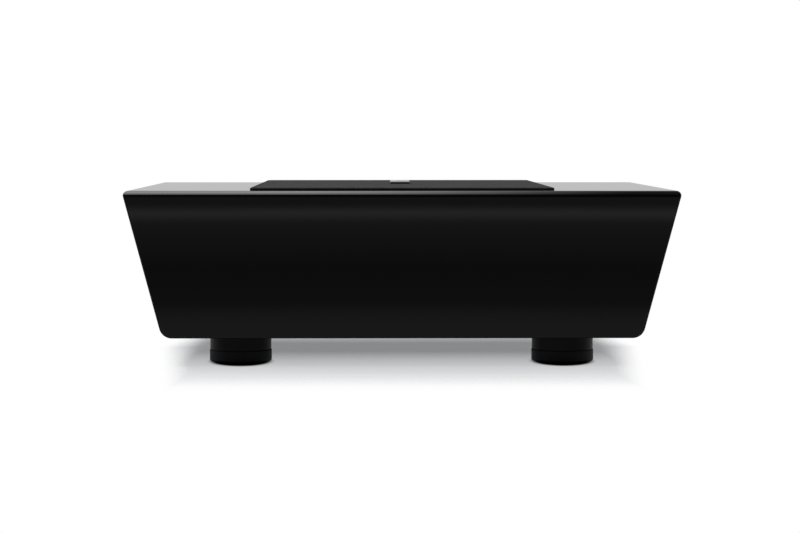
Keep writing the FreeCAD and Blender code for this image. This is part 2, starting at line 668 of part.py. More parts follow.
def woofer_gasket():
    """Foam ring between the woofer's frame and the ledge."""
    gasket = ring(CUTOUT_R, FRAME_R, LEDGE_TOP, FRAME_SEAT)
    for place in screw_circle():
        gasket = gasket.cut(rod(WOOFER_SCREW_R, at_height(place, LEDGE_TOP), Z_AXIS, GASKET_THICK))
    save("woofer_gasket", gasket)


def basket_window(angle, inner, outer, bottom, top):
    """Cutter for one window: a sector of a ring with rounded corners."""
    half = math.radians(WINDOW_SHARE * 180 / SPOKES)
    middle = math.radians(angle)

    def corner(radius, turn):
        return Vector(radius * math.cos(middle + turn), radius * math.sin(middle + turn), bottom)

    edges = [Part.Arc(corner(inner, -half), corner(inner, 0), corner(inner, half)).toShape(),
             Part.LineSegment(corner(inner, half), corner(outer, half)).toShape(),
             Part.Arc(corner(outer, half), corner(outer, 0), corner(outer, -half)).toShape(),
             Part.LineSegment(corner(outer, -half), corner(inner, -half)).toShape()]
    cutter = Part.Face(Part.Wire(edges)).extrude(Vector(0, 0, top - bottom))
    upright = [edge for edge in cutter.Edges
               if abs(edge.Vertexes[0].Z - edge.Vertexes[-1].Z) > TOUCH]
    return cutter.makeFillet(WINDOW_R, upright)


def woofer_basket():
    """Pressed basket: flange, straight wall, open cone of spokes, cup, spider shelf and floor."""
    wall_foot = SPIDER_SEAT + (FRAME_SEAT - SPIDER_SEAT) * BASKET_WALL_FOOT
    shelf_under = SPIDER_SEAT - BASKET_WALL
    cup_inner = BASKET_CUP_R - BASKET_WALL
    floor_top = POLE_PLATE_TOP + BASKET_FLOOR
    under = [(BASKET_FLOOR_BORE_R, POLE_PLATE_TOP, SHARP), (BASKET_CUP_R, POLE_PLATE_TOP, BASKET_WALL),
             (BASKET_CUP_R, shelf_under, SHARP), (BASKET_SHELF_R, shelf_under, SHARP),
             (BASKET_OUTER_R, wall_foot, SHARP), (BASKET_OUTER_R, FRAME_SEAT, SHARP),
             (FRAME_R, FRAME_SEAT, SHARP)]
    over = [(FRAME_R, FRAME_TOP, FRAME_EDGE_R), (BASKET_INNER_R, FRAME_TOP, SHARP),
            (BASKET_INNER_R, wall_foot + BASKET_WALL / 2, SHARP), (BASKET_SHELF_R, SPIDER_SEAT, SHARP),
            (cup_inner, SPIDER_SEAT, SHARP), (cup_inner, floor_top, SHARP),
            (BASKET_FLOOR_BORE_R, floor_top, SHARP)]
    basket = turned(under + over, ORIGIN, Z_AXIS)
    inner = BASKET_SHELF_R + 2 * BASKET_WALL
    outer = BASKET_INNER_R - 2 * BASKET_WALL
    for index in range(SPOKES):
        basket = basket.cut(basket_window(index * 360 / SPOKES, inner, outer, POLE_PLATE_TOP, FRAME_SEAT))
    hole_r = WOOFER_SCREW_R + SCREW_HOLE_ROOM
    for place in screw_circle():
        basket = basket.cut(rod(hole_r, at_height(place, FRAME_SEAT), Z_AXIS, FRAME_THICK))
    save("woofer_basket", basket)


def woofer_screws():
    """Pan-head screws through the frame into the backing ring."""
    tip = FRAME_SEAT - WOOFER_SCREW_GRIP
    head_top = FRAME_TOP + WOOFER_SCREW_HEAD_HEIGHT
    profile = [(0, tip, SHARP), (WOOFER_SCREW_R, tip, SHARP), (WOOFER_SCREW_R, FRAME_TOP, SHARP),
               (WOOFER_SCREW_HEAD_R, FRAME_TOP, SHARP),
               (WOOFER_SCREW_HEAD_R, head_top, WOOFER_SCREW_HEAD_HEIGHT / 2), (0, head_top, SHARP)]
    save("woofer_screws", *[turned(profile, place, Z_AXIS) for place in screw_circle()])


def magnet_system():
    """Ferrite ring between the pole plate and the yoke, whose pole stands in the voice coil."""
    save("magnet_ring", ring(MAGNET_BORE_R, MAGNET_R, YOKE_TOP, MAGNET_TOP))
    save("pole_plate", ring(WINDING_R + COIL_GAP, PLATE_R, MAGNET_TOP, POLE_PLATE_TOP))
    yoke = [(POLE_VENT_R, YOKE_BOTTOM, SHARP), (PLATE_R, YOKE_BOTTOM, YOKE_THICK / 3),
            (PLATE_R, YOKE_TOP, SHARP), (POLE_R, YOKE_TOP, SHARP),
            (POLE_R, POLE_PLATE_TOP, SHARP), (POLE_VENT_R, POLE_PLATE_TOP, SHARP)]
    save("t_yoke", turned(yoke, ORIGIN, Z_AXIS))


def voice_coil():
    """Coil former from the cone's neck down into the gap, with its winding across the pole plate."""
    bottom = WINDING_MIDDLE - WINDING_LENGTH / 2
    save("coil_former", ring(FORMER_R, FORMER_OUTER_R, bottom - FORMER_THICK, NECK_TOP))
    save("coil_winding", ring(FORMER_OUTER_R, WINDING_R, bottom, bottom + WINDING_LENGTH))


def half_roll(radius, height):
    """Lower half circle of the surround's roll, from its inner to its outer end."""
    centre = (ROLL_INNER_R + ROLL_OUTER_R) / 2
    return [Vector(centre - radius, 0, height), Vector(centre, 0, height - radius),
            Vector(centre + radius, 0, height)]


def spider():
    """Corrugated suspension from the coil former to the basket's shelf."""
    inner = FORMER_OUTER_R
    outer = BASKET_SHELF_R - PART_ROOM
    rolls_start = (inner + outer - SPIDER_LAND) / 2 - SPIDER_ROLLS * SPIDER_ROLL_R

    def corrugated_line(height):
        at = rolls_start
        parts = straights([Vector(inner, 0, height), Vector(at, 0, height)])
        for index in range(SPIDER_ROLLS):
            crest = height + (SPIDER_ROLL_RISE if index % 2 == 0 else -SPIDER_ROLL_RISE)
            after = at + 2 * SPIDER_ROLL_R
            parts.append(Part.Arc(Vector(at, 0, height), Vector(at + SPIDER_ROLL_R, 0, crest),
                                  Vector(after, 0, height)).toShape())
            at = after
        return parts + straights([Vector(at, 0, height), Vector(outer, 0, height)])

    top = SPIDER_SEAT + SPIDER_THICK
    edges = corrugated_line(SPIDER_SEAT) + corrugated_line(top)
    for radius in (inner, outer):
        edges += straights([Vector(radius, 0, SPIDER_SEAT), Vector(radius, 0, top)])
    save("spider", revolved(Part.__sortEdges__(edges), ORIGIN, Z_AXIS))


def surround():
    """Rubber half roll, turned downwards so that the grille clears it."""
    base = FRAME_TOP
    top = FRAME_TOP + SURROUND_THICK
    outer = ROLL_OUTER_R + SURROUND_LAND
    upper = half_roll(SURROUND_ROLL_R - SURROUND_THICK, top)
    lower = half_roll(SURROUND_ROLL_R, base)
    edges = [Part.Arc(*upper).toShape()]
    edges += straights([upper[2], Vector(outer, 0, top), Vector(outer, 0, base), lower[2]])
    edges.append(Part.Arc(*lower[::-1]).toShape())
    edges += straights([lower[0], Vector(LIP_INNER_R, 0, base), Vector(LIP_INNER_R, 0, top), upper[0]])
    save("surround", revolved(edges, ORIGIN, Z_AXIS))


def cone_side(share, lift):
    """Point on the cone's bowed side, from neck (0) to lip (1)."""
    neck_outer = FORMER_OUTER_R + CONE_THICK
    radius = neck_outer + share * (LIP_INNER_R - neck_outer)
    height = NECK_TOP + share * (FRAME_TOP - CONE_THICK - NECK_TOP)
    bow = math.sin(math.pi * share)
    return Vector(radius + CONE_BOW_OUT * bow, 0, height - CONE_BOW * bow + lift)


def cone():
    """Pressed cone: neck on the coil former, bowed side and a flat lip under the surround."""
    inner = FORMER_OUTER_R
    neck_foot = Vector(inner + CONE_THICK, 0, NECK_BOTTOM)
    upper = [cone_side(share, CONE_THICK) for share in (0, 0.5, 1)]
    lower = [cone_side(share, 0) for share in (0, 0.5, 1)]
    edges = straights([Vector(inner, 0, NECK_BOTTOM), neck_foot, lower[0]])
    edges.append(Part.Arc(*lower).toShape())
    edges += straights([lower[2], Vector(ROLL_INNER_R, 0, FRAME_TOP - CONE_THICK),
                        Vector(ROLL_INNER_R, 0, FRAME_TOP), upper[2]])
    edges.append(Part.Arc(*upper[::-1]).toShape())
    edges += straights([upper[0], Vector(inner, 0, upper[0].z), Vector(inner, 0, NECK_BOTTOM)])
    save("cone", revolved(edges, ORIGIN, Z_AXIS))


def dust_cap():
    """Domed cap glued on the cone over the voice coil."""
    neck_outer = FORMER_OUTER_R + CONE_THICK
    seat = cone_side((DUST_CAP_R - neck_outer) / (LIP_INNER_R - neck_outer), CONE_THICK)
    sphere_r = (seat.x ** 2 + DUST_CAP_HEIGHT ** 2) / (2 * DUST_CAP_HEIGHT)
    centre = Vector(0, 0, seat.z + DUST_CAP_HEIGHT - sphere_r)
    cap = Part.makeSphere(sphere_r, centre).cut(Part.makeSphere(sphere_r - DUST_CAP_THICK, centre))
    keep = rod(2 * sphere_r, Vector(0, 0, seat.z + PART_ROOM), Z_AXIS, 2 * sphere_r)
    save("dust_cap", cap.common(keep))


def terminal_strip():
    """Tag strip on the basket's cup, towards the amplifier."""
    y0 = BASKET_CUP_R
    middle = (POLE_PLATE_TOP + SPIDER_SEAT - BASKET_WALL) / 2
    save("terminal_strip", box(-STRIP_WIDTH / 2, STRIP_WIDTH / 2, y0, y0 + STRIP_THICK,
                               middle - STRIP_HEIGHT / 2, middle + STRIP_HEIGHT / 2))


def speaker_leads():
    """Two leads from the amplifier board to the tag strip."""
    start_y = BASKET_CUP_R + STRIP_THICK
    level_run = LEAD_LEVEL_SHARE * (BOARD_FRONT - start_y)
    high = (POLE_PLATE_TOP + SPIDER_SEAT - BASKET_WALL) / 2
    low = high - LEAD_DROP
    leads = []
    for x in (-LEAD_PITCH / 2, LEAD_PITCH / 2):
        route = [Vector(x, start_y, high), Vector(x, start_y + level_run, high),
                 Vector(x, BOARD_FRONT - level_run, low), Vector(x, BOARD_FRONT, low)]
        leads.append(wire_tube(route, LEAD_R))
    save("speaker_leads", *leads)


def wire_tube(route, radius):
    """Round wire along straight runs that tangent arcs join."""
    edges = []
    last = route[0]
    for behind, corner, ahead in zip(route, route[1:], route[2:]):
        back = behind - corner
        front = ahead - corner
        reach = LEAD_ARC_SHARE * min(back.Length, front.Length)
        start = corner + back.normalize() * reach
        end = corner + front.normalize() * reach
        half_angle = back.getAngle(front) / 2
        bend = reach * math.tan(half_angle)
        middle = corner + (back + front).normalize() * (bend / math.sin(half_angle) - bend)
        edges += straights([last, start])
        edges.append(Part.Arc(start, middle, end).toShape())
        last = end
    edges += straights([last, route[-1]])
    section = Part.Wire(Part.makeCircle(radius, route[0], route[1] - route[0]))
    return Part.Wire(edges).makePipeShell([section], True, True)


def port():
    """Reflex port: a flared mouth flush with the rear face and a tube sleeved over its spigot."""
    centre = Vector(PORT_X, HALF_DEPTH, CHAMBER_MIDDLE)
    spigot_r = PORT_BORE_R + PORT_WALL
    mouth_r = PORT_BORE_R + PORT_FLARE_R
    bulge = PORT_FLARE_R * (1 - math.sqrt(0.5))

    def at(radius, depth):
        return centre + X_AXIS * radius - Y_AXIS * depth

    flare = Part.Arc(at(mouth_r, 0), at(PORT_BORE_R + bulge, bulge), at(PORT_BORE_R, PORT_FLARE_R))
    edges = [flare.toShape()]
    edges += straights([at(PORT_BORE_R, PORT_FLARE_R), at(PORT_BORE_R, PORT_SPIGOT_END),
                        at(spigot_r, PORT_SPIGOT_END), at(spigot_r, PORT_FLANGE_THICK),
                        at(PORT_FLANGE_R, PORT_FLANGE_THICK), at(PORT_FLANGE_R, 0), at(mouth_r, 0)])
    save("port_flare", revolved(edges, centre, Y_AXIS))
    tube_r = spigot_r + PORT_WALL
    tube = [(spigot_r, PORT_TUBE_LENGTH, SHARP), (tube_r, PORT_TUBE_LENGTH, SHARP),
            (tube_r, 0, PORT_WALL / 3), (spigot_r, 0, PORT_WALL / 3)]
    save("port_tube", turned(tube, Vector(PORT_X, TUBE_FRONT, CHAMBER_MIDDLE), Y_AXIS))


def tray_screw_places():
    """Points on the rear face over the tray's screws."""
    across = TRAY_WIDTH / 2 - TRAY_FLANGE / 2
    up = TRAY_HEIGHT / 2 - TRAY_FLANGE / 2
    for x in (-across, 0, across):
        for z in (-up, up):
            yield Vector(TRAY_MIDDLE + x, HALF_DEPTH, CHAMBER_MIDDLE + z)


def line_places():
    """Axes of the two line sockets at the tray's floor."""
    for step in (-0.5, 0.5):
        yield Vector(LINE_X + step * LINE_PITCH, TRAY_FLOOR, CHAMBER_MIDDLE)


def post_places():
    """Axes of the four posts that carry the board."""
    rise = TRAY_HEIGHT / 2 - TRAY_FLANGE - BOARD_END_MARGIN - POST_INSET
    for x in (BOARD_LEFT + POST_INSET, BOARD_RIGHT - POST_INSET):
        for z in (-rise, rise):
            yield Vector(x, BOARD_FACE, CHAMBER_MIDDLE + z)


def amp_tray():
    """Moulded tray: flange in the rear wall's rebate, dish with rounded walls, holes and board posts."""
    dish_width = TRAY_WIDTH - 2 * TRAY_FLANGE
    dish_height = TRAY_HEIGHT - 2 * TRAY_FLANGE
    tray = rounded_block(TRAY_MIDDLE, CHAMBER_MIDDLE, TRAY_WIDTH, TRAY_HEIGHT,
                         HALF_DEPTH - TRAY_FLANGE_THICK, HALF_DEPTH, TRAY_CORNER_R)
    tray = tray.fuse(rounded_block(TRAY_MIDDLE, CHAMBER_MIDDLE, dish_width, dish_height, TRAY_BACK,
                                   HALF_DEPTH - TRAY_FLANGE_THICK, TRAY_CORNER_R))
    tray = tray.cut(rounded_block(TRAY_MIDDLE, CHAMBER_MIDDLE, dish_width - 2 * TRAY_SKIN,
                                  dish_height - 2 * TRAY_SKIN, TRAY_FLOOR, HALF_DEPTH + WALL,
                                  TRAY_CORNER_R - TRAY_SKIN))
    for place in post_places():
        tray = tray.fuse(rod(POST_R, place, Y_AXIS, BOARD_STAND))
        tray = tray.fuse(rod(POST_PIN_R, place - Y_AXIS * 2 * BOARD_THICK, Y_AXIS, 2 * BOARD_THICK))
    for cut in floor_cuts():
        tray = tray.cut(cut)
    sink = TRAY_SCREW_HEAD_R - TRAY_SCREW_R
    screws = []
    for place in tray_screw_places():
        tray = tray.cut(Part.makeCone(TRAY_SCREW_HEAD_R, TRAY_SCREW_R, sink, place, -Y_AXIS))
        tray = tray.cut(rod(TRAY_SCREW_R, place, -Y_AXIS, TRAY_FLANGE_THICK))
        screws.append(turned([(0, 0, SHARP), (TRAY_SCREW_HEAD_R, 0, SHARP), (TRAY_SCREW_R, -sink, SHARP),
                              (TRAY_SCREW_R, -TRAY_SCREW_LENGTH, SHARP), (0, -TRAY_SCREW_LENGTH, SHARP)],
                             place, Y_AXIS))
    save("amp_tray", tray)
    save("amp_tray_screws", *screws)


def floor_cuts():
    """Cutters for everything that passes through the tray's floor."""
    back = TRAY_BACK - TRAY_SKIN
    front = TRAY_FLOOR + TRAY_SKIN
    stem = SLIDER_STEM + 2 * SLIDER_ROOM
    cuts = []
    for x, width, height in ((INLET_X, INLET_BODY_WIDTH, INLET_BODY_HEIGHT),
                             (ROCKER_X, HOUSING_WIDTH, HOUSING_LENGTH), (PHASE_X, PHASE_TRAVEL + stem, stem)):
        cuts.append(centred_box(x, CHAMBER_MIDDLE, width, height, back, front))
    left, right = line_places()
    for radius, x, rise in ((BUSH_R, LEVEL_X, 0), (BUSH_R, CROSSOVER_X, 0), (LINE_ROOT_R, left.x, 0),
                            (LINE_ROOT_R, right.x, 0), (BUTTON_R + BUTTON_ROOM, PAIR_X, -PAIR_DROP),
                            (LIGHT_R, PAIR_X, LIGHT_RISE)):
        cuts.append(rod(radius, Vector(x, back, CHAMBER_MIDDLE + rise), Y_AXIS, front - back))
    return cuts


def amp_board():
    """Circuit board on the tray's posts and what is soldered to its inner face."""
    half = TRAY_HEIGHT / 2 - TRAY_FLANGE - BOARD_END_MARGIN
    bottom = CHAMBER_MIDDLE - half
    board = box(BOARD_LEFT, BOARD_RIGHT, BOARD_FRONT, BOARD_FACE, bottom, CHAMBER_MIDDLE + half)
    for place in post_places():
        board = board.cut(rod(POST_PIN_R, place - Y_AXIS * BOARD_THICK, Y_AXIS, BOARD_THICK))
    save("amp_board", board)
    heatsink(CROSSOVER_X, CHAMBER_MIDDLE + half - HEATSINK_HEIGHT / 2 - BOARD_END_MARGIN)
    can_x = CROSSOVER_X - HEATSINK_WIDTH / 2 + CAN_R
    can_z = bottom + BOARD_END_MARGIN + CAN_R
    cans = [rod(CAN_R, Vector(can_x + step * CAN_PITCH, BOARD_FRONT - CAN_LENGTH, can_z), Y_AXIS, CAN_LENGTH)
            for step in (0, 1)]
    save("reservoir_capacitors", *cans)
    core_x = can_x + CAN_PITCH + CAN_R + CORE_WIDTH / 2 + HEATSINK_FIN_THICK
    power_transformer(core_x, bottom + CORE_HEIGHT / 2)
    wireless_module(BOARD_LEFT + 2 * POST_INSET + MODULE_WIDTH / 2)


def heatsink(x, z):
    """Finned heat sink on the board."""
    foot = BOARD_FRONT - HEATSINK_BASE
    sink = centred_box(x, z, HEATSINK_WIDTH, HEATSINK_HEIGHT, foot, BOARD_FRONT)
    reach = (HEATSINK_WIDTH - HEATSINK_FIN_THICK) / 2
    for index in range(HEATSINK_FINS):
        fin_x = x - reach + index * 2 * reach / (HEATSINK_FINS - 1)
        sink = sink.fuse(centred_box(fin_x, z, HEATSINK_FIN_THICK, HEATSINK_HEIGHT,
                                     BOARD_FRONT - HEATSINK_DEPTH, foot))
    save("heatsink", sink.removeSplitter())


def power_transformer(x, z):
    """Ferrite core with a notch down each side for its winding."""
    front = BOARD_FRONT - CORE_DEPTH
    window = CORE_HEIGHT - 2 * CORE_LIMB
    core = centred_box(x, z, CORE_WIDTH, CORE_HEIGHT, front, BOARD_FRONT)
    for side in (-1, 1):
        notch_x = x + side * (CORE_WIDTH / 2 - CORE_LIMB / 4)
        core = core.cut(centred_box(notch_x, z, CORE_LIMB / 2, window, front, BOARD_FRONT))
    save("power_transformer", core)


def wireless_module(x):
    """Small upright board on its header, with a screening can."""
    back = BOARD_FRONT - MODULE_HEADER
    front = back - BOARD_THICK
    module = centred_box(x, CHAMBER_MIDDLE, MODULE_WIDTH, MODULE_HEIGHT, front, back)
    header_z = CHAMBER_MIDDLE - MODULE_HEIGHT / 2 + MODULE_HEADER
    module = module.fuse(centred_box(x, header_z, MODULE_WIDTH - MODULE_HEADER, MODULE_HEADER,
                                     back, BOARD_FRONT))
    can = centred_box(x, CHAMBER_MIDDLE - MODULE_HEADER, MODULE_WIDTH - 2 * MODULE_HEADER,
                      MODULE_HEIGHT - 4 * MODULE_HEADER, front - MODULE_CAN_HEIGHT, front)
    save("wireless_module", module.fuse(can).removeSplitter())


def inlet_cavity():
    """Six-sided cavity of the mains inlet: a rectangle whose two upper corners are cut off."""
    a = INLET_CAVITY_WIDTH / 2
    b = INLET_CAVITY_HEIGHT / 2
    bottom = TRAY_FLOOR + INLET_FLANGE_THICK - INLET_CAVITY_DEPTH
    corners = [(-a, -b, INLET_CAVITY_R), (a, -b, INLET_CAVITY_R), (a, b - INLET_CHAMFER, INLET_CAVITY_R / 2),
               (a - INLET_CHAMFER, b, INLET_CAVITY_R / 2), (-a + INLET_CHAMFER, b, INLET_CAVITY_R / 2),
               (-a, b - INLET_CHAMFER, INLET_CAVITY_R / 2)]
    wire = outline(corners, lambda u, v: Vector(INLET_X + u, bottom, CHAMBER_MIDDLE + v))
    return Part.Face(wire).extrude(Vector(0, INLET_CAVITY_DEPTH, 0))


def power_inlet():
    """Three-pin mains inlet with its shaped cavity, and its pins."""
    front = TRAY_FLOOR + INLET_FLANGE_THICK
    back = TRAY_FLOOR - INLET_BODY_DEPTH
    body = rounded_block(INLET_X, CHAMBER_MIDDLE, INLET_FLANGE_WIDTH, INLET_FLANGE_HEIGHT,
                         TRAY_FLOOR, front, 2 * INLET_FLANGE_THICK)
    body = body.fuse(centred_box(INLET_X, CHAMBER_MIDDLE, INLET_BODY_WIDTH, INLET_BODY_HEIGHT,
                                 back, TRAY_FLOOR))
    body = body.cut(inlet_cavity())
    pins = []
    for step, rise in ((-PIN_PITCH, 0), (0, PIN_EARTH_RISE), (PIN_PITCH, 0)):
        centre_z = CHAMBER_MIDDLE - PIN_EARTH_RISE / 2 + rise
        pins.append(centred_box(INLET_X + step, centre_z, PIN_WIDTH, PIN_HEIGHT, back - PIN_TAB,
                                front - INLET_CAVITY_DEPTH + PIN_LENGTH))
    for pin in pins:
        body = body.cut(pin)
    save("power_inlet", body)
    save("power_inlet_pins", *pins)


def line_in():
    """Line input block behind the tray and its two round sockets."""
    back = TRAY_BACK - LINE_BLOCK_DEPTH
    centre = Vector(LINE_X, TRAY_BACK, CHAMBER_MIDDLE)
    block = centred_box(centre.x, centre.z, LINE_BLOCK_WIDTH, LINE_BLOCK_HEIGHT, back, TRAY_BACK)
    save("line_in_block", with_legs(block, (-1, 0, 1), centre, LINE_PITCH / 2, back))
    washer = LINE_WASHER_THICK
    tip = washer + LINE_BARREL_LENGTH
    recess = tip - LEG_WIDTH
    profile = [(0, -TRAY_SKIN, SHARP), (LINE_ROOT_R, -TRAY_SKIN, SHARP), (LINE_ROOT_R, 0, SHARP),
               (LINE_WASHER_R, 0, SHARP), (LINE_WASHER_R, washer, washer / 3), (LINE_BARREL_R, washer, SHARP),
               (LINE_BARREL_R, tip, SHARP), (LINE_BORE_R, tip, SHARP), (LINE_BORE_R, recess, SHARP),
               (LINE_CONTACT_R, recess, SHARP), (LINE_CONTACT_R, washer, SHARP), (0, washer, SHARP)]
    save("line_in_sockets", *[turned(profile, place, Y_AXIS) for place in line_places()])


def rotary_control(label, x):
    """Potentiometer behind the tray, and the fluted knob whose spindle turns in its bush."""
    centre = Vector(x, TRAY_FLOOR, CHAMBER_MIDDLE)
    body_back = TRAY_BACK - POT_DEPTH
    bush_length = TRAY_SKIN + BUSH_STAND
    pot = centred_box(x, centre.z, POT_SIZE, POT_SIZE, body_back, TRAY_BACK)
    pot = pot.fuse(rod(BUSH_R, Vector(x, TRAY_BACK, centre.z), Y_AXIS, bush_length))
    pot = with_legs(pot, (-1, 0, 1), centre, POT_SIZE / 3, body_back)
    bore_end = Vector(x, TRAY_BACK - SPINDLE_DEPTH - PART_ROOM, centre.z)
    bore = rod(SPINDLE_R + SPINDLE_FIT, bore_end, Y_AXIS, bush_length + SPINDLE_DEPTH + PART_ROOM)
    save(label + "_pot", pot.cut(bore))
    skirt = BUSH_STAND + KNOB_ROOM
    top = skirt + KNOB_HEIGHT
    spindle_end = -TRAY_SKIN - SPINDLE_DEPTH
    knob = turned([(0, spindle_end, SHARP), (SPINDLE_R, spindle_end, SPINDLE_R / 6),
                   (SPINDLE_R, skirt, SHARP), (KNOB_R, skirt, SHARP), (KNOB_TIP_R, top, KNOB_EDGE_R),
                   (0, top, SHARP)], centre, Y_AXIS)
    reach = KNOB_R + KNOB_FLUTE_R / 3
    for index in range(KNOB_FLUTES):
        angle = 2 * math.pi * (index + 0.5) / KNOB_FLUTES
        start = centre + Vector(reach * math.cos(angle), skirt + KNOB_HEIGHT / 5, reach * math.sin(angle))
        knob = knob.cut(rod(KNOB_FLUTE_R, start, Y_AXIS, KNOB_HEIGHT))
    pointer = box(x - KNOB_POINTER_WIDTH / 2, x + KNOB_POINTER_WIDTH / 2,
                  TRAY_FLOOR + top - KNOB_EDGE_R, TRAY_FLOOR + top, centre.z + KNOB_R / 4, centre.z + KNOB_R)
    save(label + "_knob", knob.cut(pointer))


def power_rocker():
    """Snap-in housing and the two-position rocker that tilts in it."""
    x = ROCKER_X
    z = CHAMBER_MIDDLE
    back = TRAY_FLOOR - HOUSING_DEPTH
    front = TRAY_FLOOR + HOUSING_LIP_THICK
    housing = centred_box(x, z, HOUSING_WIDTH, HOUSING_LENGTH, back, TRAY_FLOOR)
    lip = rounded_block(x, z, HOUSING_WIDTH + 2 * HOUSING_LIP, HOUSING_LENGTH + 2 * HOUSING_LIP,
                        TRAY_FLOOR, front, HOUSING_LIP)
    inside = centred_box(x, z, HOUSING_WIDTH - 2 * HOUSING_WALL, HOUSING_LENGTH - 2 * HOUSING_WALL,
                         back + HOUSING_WALL, front)
    pivot = Vector(x, TRAY_FLOOR - 2 * ROCKER_PIVOT_R, z)
    reach = ROCKER_WIDTH / 2 + ROCKER_SIDE_ROOM + ROCKER_PIVOT_GRIP
    bore_reach = reach + ROCKER_PIVOT_FIT
    bore = rod(ROCKER_PIVOT_R + ROCKER_PIVOT_FIT, pivot - X_AXIS * bore_reach, X_AXIS, 2 * bore_reach)
    save("rocker_housing", housing.fuse(lip).cut(inside).cut(bore).removeSplitter())
    half = ROCKER_LENGTH / 2
    rise = ROCKER_RISE + half * math.tan(math.radians(ROCKER_TILT))
    rounded = [(-half, 0), (-half / 2, -ROCKER_KEEL), (half / 2, -ROCKER_KEEL), (half, 0), (half, rise)]
    corners = [(u, v, ROCKER_CORNER_R) for u, v in rounded]
    corners += [(0, ROCKER_RISE, SHARP), (-half, rise, ROCKER_CORNER_R)]
    wire = outline(corners, lambda u, v: pivot + Vector(-ROCKER_WIDTH / 2, v, u))
    rocker = Part.Face(wire).extrude(Vector(ROCKER_WIDTH, 0, 0))
    rocker = rocker.fuse(rod(ROCKER_PIVOT_R, pivot - X_AXIS * reach, X_AXIS, 2 * reach))
    rocker.rotate(pivot, X_AXIS, ROCKER_TILT)
    save("power_rocker", rocker)


def phase_switch():
    """Slide switch body behind the tray and the slider that stands through the tray's slot."""
    z = CHAMBER_MIDDLE
    back = TRAY_BACK - SWITCH_DEPTH
    body = centred_box(PHASE_X, z, PHASE_BODY_WIDTH, PHASE_BODY_HEIGHT, back, TRAY_BACK)
    body = with_legs(body, (-1, 0, 1), Vector(PHASE_X, back, z), PHASE_BODY_WIDTH / 3, back)
    foot_front = TRAY_BACK - SLIDER_ROOM
    foot_back = foot_front - SLIDER_FOOT_THICK
    foot_room = SLIDER_FOOT + 2 * SLIDER_ROOM
    body = body.cut(centred_box(PHASE_X, z, PHASE_TRAVEL + foot_room, foot_room,
                                foot_back - SLIDER_ROOM, TRAY_BACK))
    save("phase_switch_body", body)
    rest_x = PHASE_X - PHASE_TRAVEL / 2
    foot = centred_box(rest_x, z, SLIDER_FOOT, SLIDER_FOOT, foot_back, foot_front)
    stem = centred_box(rest_x, z, SLIDER_STEM, SLIDER_STEM, foot_back, TRAY_FLOOR + SLIDER_STAND)
    save("phase_slider", foot.fuse(stem))


def pair_switch():
    """Push button with its switch body, and the status light above it."""
    centre = Vector(PAIR_X, TRAY_BACK, CHAMBER_MIDDLE - PAIR_DROP)
    back = TRAY_BACK - SWITCH_DEPTH
    body = centred_box(centre.x, centre.z, PAIR_BODY_SIZE, PAIR_BODY_SIZE, back, TRAY_BACK)
    body = with_legs(body, (-1, 1), centre, PAIR_BODY_SIZE / 4, back)
    reach = PLUNGER_LENGTH + BUTTON_TRAVEL + PLUNGER_FIT
    body = body.cut(rod(PLUNGER_R + PLUNGER_FIT, centre - Y_AXIS * reach, Y_AXIS, reach))
    save("pair_switch_body", body)
    cap_back = BUTTON_TRAVEL + BUTTON_ROOM / 3
    cap_front = TRAY_SKIN + BUTTON_STAND
    button = turned([(0, -PLUNGER_LENGTH, SHARP), (PLUNGER_R, -PLUNGER_LENGTH, SHARP),
                     (PLUNGER_R, cap_back, SHARP), (BUTTON_R, cap_back, SHARP),
                     (BUTTON_R, cap_front, BUTTON_ROOM), (0, cap_front, SHARP)], centre, Y_AXIS)
    save("pair_button", button)
    light = Vector(PAIR_X, BOARD_FACE, CHAMBER_MIDDLE + LIGHT_RISE)
    tip = TRAY_FLOOR + LIGHT_STAND - BOARD_FACE
    save("status_light", turned([(0, 0, SHARP), (LIGHT_R, 0, SHARP), (LIGHT_R, tip, LIGHT_DOME_R),
                                 (0, tip, SHARP)], light, Y_AXIS))


def main():
    """Build every sub-part."""
    os.makedirs("parts", exist_ok=True)
    cabinet_shell()
    top_baffle()
    woofer_backing_ring()
    cabinet_braces()
    damping_wadding()
    feet()
    grille_sockets()
    grille()
    woofer_gasket()
    woofer_basket()
    woofer_screws()
    magnet_system()
    voice_coil()
    spider()
    surround()
    cone()
    dust_cap()
    terminal_strip()
    speaker_leads()
    port()
    amp_tray()
    amp_board()
    power_inlet()
    line_in()
    rotary_control("level", LEVEL_X)
    rotary_control("crossover", CROSSOVER_X)
    power_rocker()
    phase_switch()
    pair_switch()


main()
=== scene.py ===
# %% [markdown]
# # A low wireless subwoofer in black lacquer
#
# The subwoofer is a wide, low box whose sides lean outwards. It stands on four round rubber
# feet, and a cloth grille lies over the loudspeaker in its top. The solid parts come ready made
# from a CAD model, every one in its place. This lesson dresses them: it sets up a studio, gives
# each part a surface that is worked out by nodes, and builds the soft and fine pieces that the
# CAD model only stands in for.

